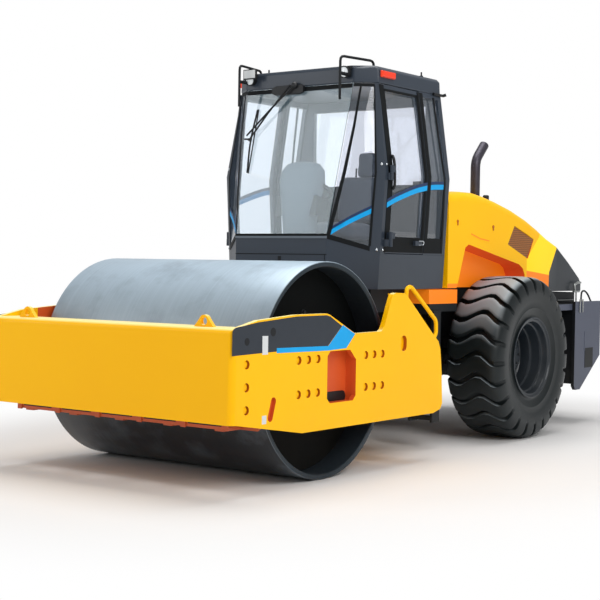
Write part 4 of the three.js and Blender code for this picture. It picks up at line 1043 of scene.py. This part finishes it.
def onSide(y, z, lift=0.0):
    return Vector((cabHalf(z) + lift, y, z))


def onFront(x, z, lift=0.0):
    share = (z - cab["noseZ"]) / (cab["edge"] - cab["noseZ"])
    return Vector((x, cab["noseY"] + cab["lean"] * share - lift, z))


def onCorner(share, z, lift=0.0):
    lean = max(0.0, (z - cab["noseZ"]) / (cab["edge"] - cab["noseZ"]))
    x0 = cab["noseLow"] + (cab["noseTop"] - cab["noseLow"]) * lean
    y0 = cab["noseY"] + cab["lean"] * lean
    y1 = cab["sideFrontY"] + max(0.0, 0.06 * (z - cab["waist"]) / (cab["edge"] - cab["waist"]))
    dx, dy = cabHalf(z) - x0, y1 - y0
    length = math.hypot(dx, dy)
    return Vector((x0 + dx * share + dy / length * lift, y0 + dy * share - dx / length * lift, z))


def flip(point, side):
    return Vector((point.x * side, point.y, point.z))


def mirrored(points, side):
    return [flip(Vector(point), side) for point in points]


# A strip between two edges, laid on a skin: `where` turns (along, z, lift) into a point.
def addStrip(shape, where, edgeA, edgeB, side, low, high, index=0):
    rings = []
    for a, b in zip(edgeA, edgeB):
        rings.append([flip(where(*a, high), side), flip(where(*b, high), side),
                      flip(where(*b, low), side), flip(where(*a, low), side)])
    addRings(shape, rings, index=index)


def zSteps(z0, z1):
    inner = [cab["waist"]] if z0 < cab["waist"] < z1 else []
    return [z0] + inner + [z1]


trim = {
    "sunk": -0.001,                # every strip starts just under the skin
    "foot": 1.684, "sill": 1.812, "head": 3.05,
    "pane": (-0.7, -0.166, 1.79, 3.022), "frit": 0.022,
    # strips on the skin: from, to, the height they reach, how far they stand out
    "door": ((-0.722, -0.144, "sill", 0.0018), (-0.17, -0.142, "head", 0.004),
             (-0.75, -0.69, "head", 0.003)),
    "quarter": ((-0.13, 0.15, "sill", 0.0018), (-0.13, -0.08, "head", 0.003)),
    "rearEdge": ((0.155, 1.684), (0.15, 2.0), (0.13, 2.33), (0.1, 2.7), (0.085, 3.03)),
    "rearWide": 0.026,
    "levels": (1.73, 2.0, 2.33, 2.7, 3.04), "cornerLift": 0.004,
    "slantFoot": 1.81, "slant": (-0.01, 0.25), "slantWide": 0.075, "cornerPost": (0.775, 0.82),
    # lower and upper edge at the nose, and again at the side
    "cornerBands": (((1.785, 1.825), (1.69, 1.73)), ((3.03, 3.057), (3.03, 3.057))),
    "gripY": -0.682,
    "grip": ((2.2, 0.004), (2.21, 0.016), (2.25, 0.022), (2.4, 0.022), (2.46, 0.016), (2.47, 0.004)),
    "handle": ((-0.262, 1.752), (-0.192, 1.752), (-0.178, 1.762), (-0.178, 1.775), (-0.192, 1.785),
               (-0.262, 1.785)),
    "capZ": (2.395, 1.702),
    "cap": ((0.011, -0.002), (0.011, 0.004), (0.007, 0.008), (0.001, 0.009)),
}


def addUpright(shape, where, a, b, zs, side, lift):
    addStrip(shape, where, [(a, z) for z in zs], [(b, z) for z in zs], side, trim["sunk"], lift)


# Black frit round a side window opening.
def addWindowBand(shape, side, y0, y1, z0, z1):
    width, lift = trim["frit"], 0.0015
    for ya, yb in ((y0, y0 + width), (y1 - width, y1)):
        addUpright(shape, onSide, ya, yb, zSteps(z0, z1), side, lift)
    for za, zb in ((z0, z0 + width), (z1 - width, z1)):
        addStrip(shape, onSide, [(y0, za), (y0, zb)], [(y1, za), (y1, zb)], side, trim["sunk"], lift)


stripe = {
    "half": 0.021, "navy": 0.013,
    "corner": ((0.02, 1.822), (0.2, 1.878), (0.4, 1.931), (0.6, 1.977), (0.8, 2.018)),
    "door": ((-0.749, 2.066), (-0.7, 2.086), (-0.62, 2.115), (-0.517, 2.147), (-0.4, 2.181),
             (-0.29, 2.209), (-0.141, 2.236)),
    "quarter": ((-0.086, 2.243), (0.0, 2.251), (0.13, 2.258)),
}


def addStripe(shape, where, line, side, low, high, index, shift, half):
    upper = [(a, z + shift + half) for a, z in line]
    lower = [(a, z + shift - half) for a, z in line]
    addStrip(shape, where, upper, lower, side, low, high, index)


def makeStripes(name, side):
    for key, where, body, low, high in (("corner", onCorner, "rear_frame", -0.001, 0.0012),
                                        ("door", onSide, "door_" + name[0], 0.0005, 0.0045),
                                        ("quarter", onSide, "rear_frame", -0.006, 0.0025)):
        shape = bmesh.new()
        addStripe(shape, where, stripe[key], side, low, high, 0, 0.0, stripe["half"])
        addStripe(shape, where, stripe[key], side, low, high, 1, stripe["half"] + stripe["navy"],
                  stripe["navy"])
        finishPiece(shape, key + "Stripe_" + name, [blueFoil, navyFoil], body, 30)


def addStrips(shape, strips, side):
    for a, b, top, lift in strips:
        addUpright(shape, onSide, a, b, zSteps(trim["foot"], trim[top]), side, lift)


def makeFrits(name, side):
    shape = bmesh.new()
    addWindowBand(shape, side, *trim["pane"])
    addStrips(shape, trim["door"], side)
    finishPiece(shape, "doorFrit_" + name, sealRubber, "door_" + name[0], 30)

    shape = bmesh.new()
    addStrips(shape, trim["quarter"], side)
    wide = [(y + trim["rearWide"], z) for y, z in trim["rearEdge"]]
    addStrip(shape, onSide, trim["rearEdge"], wide, side, trim["sunk"], 0.003)
    finishPiece(shape, "quarterFrit_" + name, sealRubber, "rear_frame", 30)

    shape = bmesh.new()
    lift, levels = trim["cornerLift"], trim["levels"]
    slant = [(mapped(z, trim["slantFoot"], trim["head"], *trim["slant"]), z)
             for z in (trim["slantFoot"], *levels[1:])]
    wide = [(share + trim["slantWide"], z) for share, z in slant]
    addStrip(shape, onCorner, slant, wide, side, trim["sunk"], lift)
    addUpright(shape, onCorner, *trim["cornerPost"], levels, side, lift)
    for (noseLow, noseHigh), (sideLow, sideHigh) in trim["cornerBands"]:
        addStrip(shape, onCorner, [(0.0, noseLow), (0.8, sideLow)], [(0.0, noseHigh), (0.8, sideHigh)],
                 side, trim["sunk"], lift)
    finishPiece(shape, "cornerFrit_" + name, sealRubber, "rear_frame", 30)


def makeDoorFittings(name, side):
    shape = bmesh.new()
    grip = smoothLine([flip(onSide(trim["gripY"], z, out), side) for z, out in trim["grip"]])
    addTube(shape, grip, 0.012, 10)
    finishPiece(shape, "doorGrip_" + name, blackPlastic, "door_" + name[0], 40)

    shape = bmesh.new()
    loop = [flip(onSide(y, z, 0.03), side) for y, z in trim["handle"]]
    addTube(shape, roundedPath(loop, 0.004, 3), 0.0045, 8)
    for z in trim["capZ"]:
        for place, out in ((onSide(-0.765, z), (1, 0, 0)), (onCorner(0.93, z), (0.7, -0.7, 0))):
            addTurned(shape, trim["cap"], flip(place, side), flip(Vector(out), side), 12)
    finishPiece(shape, "doorBrightwork_" + name, metal["chrome"], "rear_frame", 40)


# Windscreen: frit on its edges, a bead along the sill whose light grey is partly a painted highlight, and
# the pressed band under it.
def makeFrontTrim():
    shape = bmesh.new()
    for z0, z1, half in ((3.02, 3.057, 0.545), (1.806, 1.826, 0.468)):
        addRings(shape, [[onFront(x, z0, 0.0025), onFront(x, z1, 0.0025), onFront(x, z1, -0.001),
                          onFront(x, z0, -0.001)] for x in (-half, half)])
    finishPiece(shape, "windscreenFrit", sealRubber, "rear_frame", 30)

    shape = bmesh.new()
    y = cab["noseY"]
    addBox(shape, (-0.474, y - 0.007, 1.788), (0.474, y + 0.01, 1.806))
    addBox(shape, (-0.472, y - 0.004, 1.655), (0.472, y + 0.01, 1.66), index=1)
    addBox(shape, (0.452, y - 0.0025, 1.39), (0.456, y + 0.01, 1.655), index=1)
    addBox(shape, (-0.02, y - 0.003, 1.60), (0.012, y + 0.01, 1.64), index=2)
    finishes = [greyPlastic, sealRubber, enamel["black"]]
    finishPiece(shape, "noseBead", finishes, "rear_frame", 30)


# Wiper: motor cover under the roof's edge, two parallel arms and a long blade.
def makeWiper():
    shape = bmesh.new()
    rings = []
    for x, grow in ((-0.26, 0.0), (-0.23, 0.014), (0.03, 0.014), (0.066, 0.0)):
        rings.append([onFront(x, 3.015 - grow, 0.03), onFront(x, 3.06 + grow, 0.034),
                      onFront(x, 3.07 + grow, 0.004), onFront(x, 3.01 - grow, 0.004)])
    addRings(shape, rings)
    pivot = onFront(-0.01, 3.075, 0.05)
    far = onFront(-0.489, 2.635, 0.03)
    for gap in (0.0, 0.05):
        start = pivot + Vector((-gap, 0, 0.002))
        end = far + Vector((0.02 + gap * 0.4, 0, 0.03 - gap * 0.9))
        addTube(shape, [start, start * 0.5 + end * 0.5 + Vector((0, -0.012, 0)), end], 0.0075, 8)
    addTube(shape, [far, far + Vector((0.075, 0, -0.002))], 0.008, 8)
    top, low = onFront(-0.4, 2.885, 0.018), onFront(-0.425, 2.345, 0.018)
    spine = [top, top * 0.5 + low * 0.5 + Vector((-0.006, -0.018, 0)), low]
    addTube(shape, smoothLine(spine, 5), 0.008, 8)
    blade = [onFront(-0.398, 2.89, 0.006), onFront(-0.423, 2.34, 0.006)]
    addTube(shape, blade, 0.006, 6)
    addTurned(shape, [(0.028, 0), (0.028, 0.02), (0.016, 0.034), (0.001, 0.036)],
              onFront(-0.02, 3.07, 0.03), (0, -1, 0.2), 16)
    finishPiece(shape, "windscreenWiper", blackPlastic, "rear_frame", 40)


roof = {
    "top": 3.205, "pins": ((0.67, -0.01), (-0.39, -0.78), (-0.67, -0.01), (0.3, -0.4)),
    "pin": ((0.016, -0.002), (0.016, 0.004), (0.007, 0.008), (0.007, 0.034), (0.004, 0.037)),
    "sideX": 0.716, "lampZ": 3.138,
    "work": (0.49, -0.876, 3.15), "workAim": (0, -1, -0.12),
    "shell": ((0.046, 0.0), (0.05, 0.03), (0.05, 0.046), (0.044, 0.05), (0.042, 0.044), (0.001, 0.044)),
    "lens": ((0.041, 0.0), (0.041, 0.044), (0.03, 0.05), (0.001, 0.052)),
    "catch": (0.735, 3.062), "marker": (-0.47, -0.94, 3.19),
}


# A low pad on the roof's side: at each step out it narrows by its tapers.
def addPad(shape, side, y, halves, tapers, steps):
    rings = []
    for out in steps:
        ry, rz = (half - out * taper for half, taper in zip(halves, tapers))
        rings.append(mirrored([(roof["sideX"] + out, y + sy * ry, roof["lampZ"] + sz * rz)
                               for sy, sz in ((-1, -1), (1, -1), (1, 1), (-1, 1))], side))
    addRings(shape, rings)


def makeRoofTrim():
    shape = bmesh.new()
    for x, y in roof["pins"]:
        addTurned(shape, roof["pin"], (x, y, roof["top"]), (0, 0, 1), 12)
    finishPiece(shape, "roofPins", enamel["black"], "rear_frame", 40)

    for name, side in sides:
        shape = bmesh.new()
        addPad(shape, side, -0.622, (0.116, 0.032), (1, 1), (0.0, 0.008))
        finishPiece(shape, "sideLampBase_" + name, blackPlastic, "rear_frame", 30, 0.004)
        shape = bmesh.new()
        addPad(shape, side, -0.632, (0.104, 0.03), (0.3, 0.2), (0.006, 0.028, 0.034))
        finishPiece(shape, "sideLampLens_" + name, redLens, "rear_frame", 30, 0.006)

        shape = bmesh.new()
        centre = flip(Vector(roof["work"]), side)
        addTurned(shape, roof["shell"], centre, roof["workAim"], 28)
        addBox(shape, (centre.x - 0.05, -0.9, 3.17), (centre.x + 0.05, -0.87, 3.195))
        finishPiece(shape, "workLampShell_" + name, blackPlastic, "rear_frame", 35)
        shape = bmesh.new()
        addTurned(shape, roof["lens"], centre, roof["workAim"], 24)
        finishPiece(shape, "workLampLens_" + name, clearLens, "rear_frame", 35)

        shape = bmesh.new()
        x, z = roof["catch"]
        addTube(shape, mirrored([(x, y, z) for y in (0.09, 0.17, 0.262)], side), 0.012, 10)
        addTube(shape, mirrored([(x, 0.25, z), (0.76, 0.262, 3.07)], side), 0.014, 10)
        finishPiece(shape, "roofCatch_" + name, enamel["black"], "rear_frame", 40)

    shape = bmesh.new()
    centre = Vector(roof["marker"])
    addBox(shape, centre - Vector((0.068, 0.008, 0.042)), centre + Vector((0.068, 0.012, 0.042)))
    addBox(shape, centre - Vector((0.06, 0.0095, 0.034)), centre + Vector((0.06, -0.008, 0.034)), index=1)
    finishPiece(shape, "cornerMarkerPlate", [blackPlastic, whiteFoil], "rear_frame", 30,
                0.003)


for name, side in sides:
    makeStripes(name, side)
    makeFrits(name, side)
    makeDoorFittings(name, side)
makeFrontTrim()
makeWiper()
makeRoofTrim()
print("cab trim ready")


# Inside the cab: dash console, seat and wall lining.
console = ((1.445, 0.12, 0.10), (1.9, 0.14, 0.11), (2.1, 0.17, 0.12), (2.25, 0.2, 0.13),
           (2.36, 0.19, 0.12), (2.42, 0.14, 0.09), (2.44, 0.06, 0.04))        # z, half width, half depth


def makeConsole():
    shape = bmesh.new()
    rings = []
    for z, halfX, halfY in console:
        ring = []
        for k in range(28):
            a = 2 * math.pi * k / 28
            x, y = (math.copysign(abs(c) ** 0.7, c) for c in (math.cos(a), math.sin(a)))
            ring.append(Vector((halfX * x, -0.83 + halfY * y + 0.12 * (z - 2.0) * (z > 2.0), z)))
        rings.append(ring)
    addRings(shape, rings)
    finishPiece(shape, "dashConsole", greyPlastic, "rear_frame", 50)

    shape = bmesh.new()
    addBox(shape, (-0.6, 0.128, 1.81), (0.6, 0.15, 2.28))
    for side in (-1, 1):
        addBox(shape, (side * 0.64, -0.08, 1.81), (side * 0.735, 0.13, 2.3))
    finishPiece(shape, "wallLining", enamel["black"], "rear_frame", 30, 0.004)


# Each cushion starts as a crowned block, a little small, and is blown up as cloth.
cushion = {
    "pressure": 4.0, "frames": 16, "cap": 0.016,
    "pieces": {                    # low corner, high corner, lean of the back in radians
        "seatCushion": ((-0.215, -0.44, 1.80), (0.215, 0.02, 1.935), 0.0),
        "seatBack": ((-0.195, -0.045, 1.93), (0.235, 0.055, 2.385), -0.1),
        "seatHeadrest": ((0.015, -0.015, 2.35), (0.19, 0.06, 2.575), -0.1),
    },
}


def crownedBlock(low, high, lean):
    shape = bmesh.new()
    middle = [(a + b) / 2 for a, b in zip(low, high)]
    half = [(b - a) / 2 for a, b in zip(low, high)]
    bmesh.ops.create_cube(shape, size=2.0)
    bmesh.ops.subdivide_edges(shape, edges=shape.edges, cuts=9, use_grid_fill=True)
    turn = Matrix.Rotation(lean, 3, "X")
    for vert in shape.verts:
        p = vert.co.copy()
        x, y, z = (abs(c) ** 6 for c in p)
        shrink = 1 / (x + y + z) ** (1 / 6)
        pull = 1 - 0.05 * (1 - abs(p.x) ** 2) - 0.05 * (1 - abs(p.z) ** 2)
        p = Vector((p.x * shrink * half[0], p.y * shrink * half[1], p.z * shrink * half[2] * pull))
        offset = turn @ Vector((p.x, p.y, p.z + half[2])) - Vector((0, 0, half[2]))
        vert.co = Vector(middle) + offset
    return shape


def blowUp(piece):
    start = [v.co.copy() for v in piece.data.vertices]
    cloth = piece.modifiers.new("cloth", "CLOTH")
    cloth.settings.use_pressure = True
    cloth.settings.uniform_pressure_force = cushion["pressure"]
    cloth.settings.effector_weights.gravity = 0
    scene = bpy.context.scene
    for number in range(1, cushion["frames"] + 1):
        scene.frame_set(number)
    done = piece.evaluated_get(bpy.context.evaluated_depsgraph_get())
    moved = [v.co.copy() for v in done.data.vertices]
    piece.modifiers.remove(cloth)
    scene.frame_set(1)
    for vert, old, new in zip(piece.data.vertices, start, moved):
        shift = new - old
        if shift.length > cushion["cap"]:
            shift *= cushion["cap"] / shift.length
        vert.co = old + shift


def makeCushion(name, low, high, lean):
    shape = crownedBlock(low, high, lean)
    bmesh.ops.recalc_face_normals(shape, faces=shape.faces)
    piece = newPiece(shape, name, seatCloth, 0)
    blowUp(piece)
    smooth = piece.modifiers.new("smooth", "SUBSURF")
    smooth.levels = smooth.render_levels = 1
    assign(piece, "rear_frame")
    return piece


def makeSeat():
    first = None
    for name, (low, high, lean) in cushion["pieces"].items():
        piece = makeCushion(name, low, high, lean)
        first = first or piece
    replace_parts(first, "seat")
    shape = bmesh.new()
    addBox(shape, (-0.2, -0.4, 1.765), (0.2, 0.06, 1.79))
    addBox(shape, (-0.18, 0.06, 1.79), (0.22, 0.085, 2.36))
    for x in (-0.03, 0.08):
        addTube(shape, [Vector((x, 0.045, 2.34)), Vector((x, 0.05, 2.44))], 0.008, 8)
    finishPiece(shape, "seatPan", blackPlastic, "rear_frame", 30, 0.006)


makeConsole()
makeSeat()
print("cab inside ready")


hoodFittings = {
    "latches": ((0.435, 1.974), (1.092, 1.946)),          # y, z on the flank
    "latch": ((0.016, -0.002), (0.016, 0.004), (0.011, 0.008), (0.001, 0.009)),
    "seam": ((0.682, 1.87), (0.8515, 1.8305), (1.021, 1.815)),
    "cap": ((0.03, -0.03), (0.03, 0.018), (0.022, 0.028), (0.001, 0.03)), "capAt": (0.5, 1.491, 2.235),
}


def makeHoodFittings(name, side):
    flank = side * hood["flank"]
    shape = bmesh.new()
    for y, z in hoodFittings["latches"]:
        addTurned(shape, hoodFittings["latch"], (flank, y, z), (side, 0, 0), 14)
        addBox(shape, (flank, y - 0.008, z - 0.035), (flank + side * 0.007, y + 0.008, z + 0.012))
    finishPiece(shape, "hoodLatches_" + name, enamel["boltPocket"], "hood_assembly",
                30, 0.002)
    # The seam is a thin strip in the orange painted shade.
    shape = bmesh.new()
    addRings(shape, [[(flank + side * out, y, z + dz) for out, dz in
                      ((0.003, -0.005), (0.003, 0.005), (-0.001, 0.005), (-0.001, -0.005))]
                     for y, z in hoodFittings["seam"]])
    finishPiece(shape, "hoodSeam_" + name, enamel["arch"], "hood_assembly", 30)


def makeHoodTop():
    shape = bmesh.new()
    addTurned(shape, hoodFittings["cap"], hoodFittings["capAt"], (0, 0, 1), 18)
    finishPiece(shape, "fillerCap", blackPlastic, "hood_assembly", 35)

    shape = bmesh.new()
    addBox(shape, (-0.74, 2.2, 1.216), (0.74, 3.0, 1.327))
    finishPiece(shape, "rearCooler", enamel["black"], "rear_frame", 30, 0.006)


ballast = {
    "face": 0.97, "toggleX": 0.79,
    # name, finish, slot, thickness, lower front and upper rear corner in y, z
    "plates": (("ballastCover_", "ballast", "plate_grey", 0.0025, (2.757, 0.735), (2.862, 0.935)),
               ("forkPocket_", "black", "black_paint", 0.003, (2.773, 0.564), (2.965, 0.765))),
    "loopX": 0.95,
    "loop": ((2.70, 1.235), (2.715, 1.33), (2.78, 1.345), (2.86, 1.31), (2.94, 1.235)),
    "handle": ((2.9, 1.335), (2.885, 1.40), (2.96, 1.43), (3.03, 1.425)),
}


# Plates on the ballast's flank, then a lifting loop, straps and a toggle latch on its top edge.
def makeRearDetails(name, side):
    face, x = ballast["face"], ballast["toggleX"]
    for stem, finish, slot, thick, low, high in ballast["plates"]:
        shape = bmesh.new()
        addBox(shape, (side * face, *low), (side * (face + thick), *high))
        finishPiece(shape, stem + name, enamel[finish], "rear_frame", 30)

    shape = bmesh.new()
    loop = mirrored([(ballast["loopX"], y, z) for y, z in ballast["loop"]], side)
    addTube(shape, smoothLine(loop, 5), 0.009, 10)
    finishPiece(shape, "ballastLoop_" + name, enamel["black"], "rear_frame", 40)
    shape = bmesh.new()
    for y in (2.625, 2.69):
        addTube(shape, mirrored([(0.977, y, z) for z in (1.13, 1.19, 1.262)], side), 0.0075, 8)
    addTube(shape, mirrored([(x, y, 1.335) for y in (2.86, 2.93, 3.0)], side), 0.01, 10)
    handle = mirrored([(x, y, z) for y, z in ballast["handle"]], side)
    addTube(shape, roundedPath(handle, 0.02), 0.012, 10)
    addTube(shape, mirrored([(x, 2.93, z) for z in (1.2, 1.3, 1.34)], side), 0.008, 8)
    addTube(shape, mirrored([(0.75, y, 1.247) for y in (2.58, 2.8, 2.95)], side), 0.006, 8)
    finishPiece(shape, "tailToggle_" + name, metal["zinc"], "rear_frame", 40)


for name, side in sides:
    makeHoodFittings(name, side)
    makeRearDetails(name, side)
makeHoodTop()


flap = {"inner": 0.585, "outer": 0.795, "half": 0.004,
        "line": ((1.17, 0.15), (0.95, 0.155), (0.7, 0.158), (0.5, 0.165))}      # z, y


# Moulded rubber flaps behind the steps keep mud off them.
def makeFlaps():
    for name, side in sides:
        shape = bmesh.new()
        x0, x1 = sorted((side * flap["inner"], side * flap["outer"]))
        half = flap["half"]
        addRings(shape, [[(x0, y - half, z), (x1, y - half, z), (x1, y + half, z), (x0, y + half, z)]
                         for z, y in flap["line"]])
        finishPiece(shape, "splashFlap_" + name, sealRubber, "rear_frame", 30)


makeFlaps()
print("hood and rear details ready")

print("scene ready")
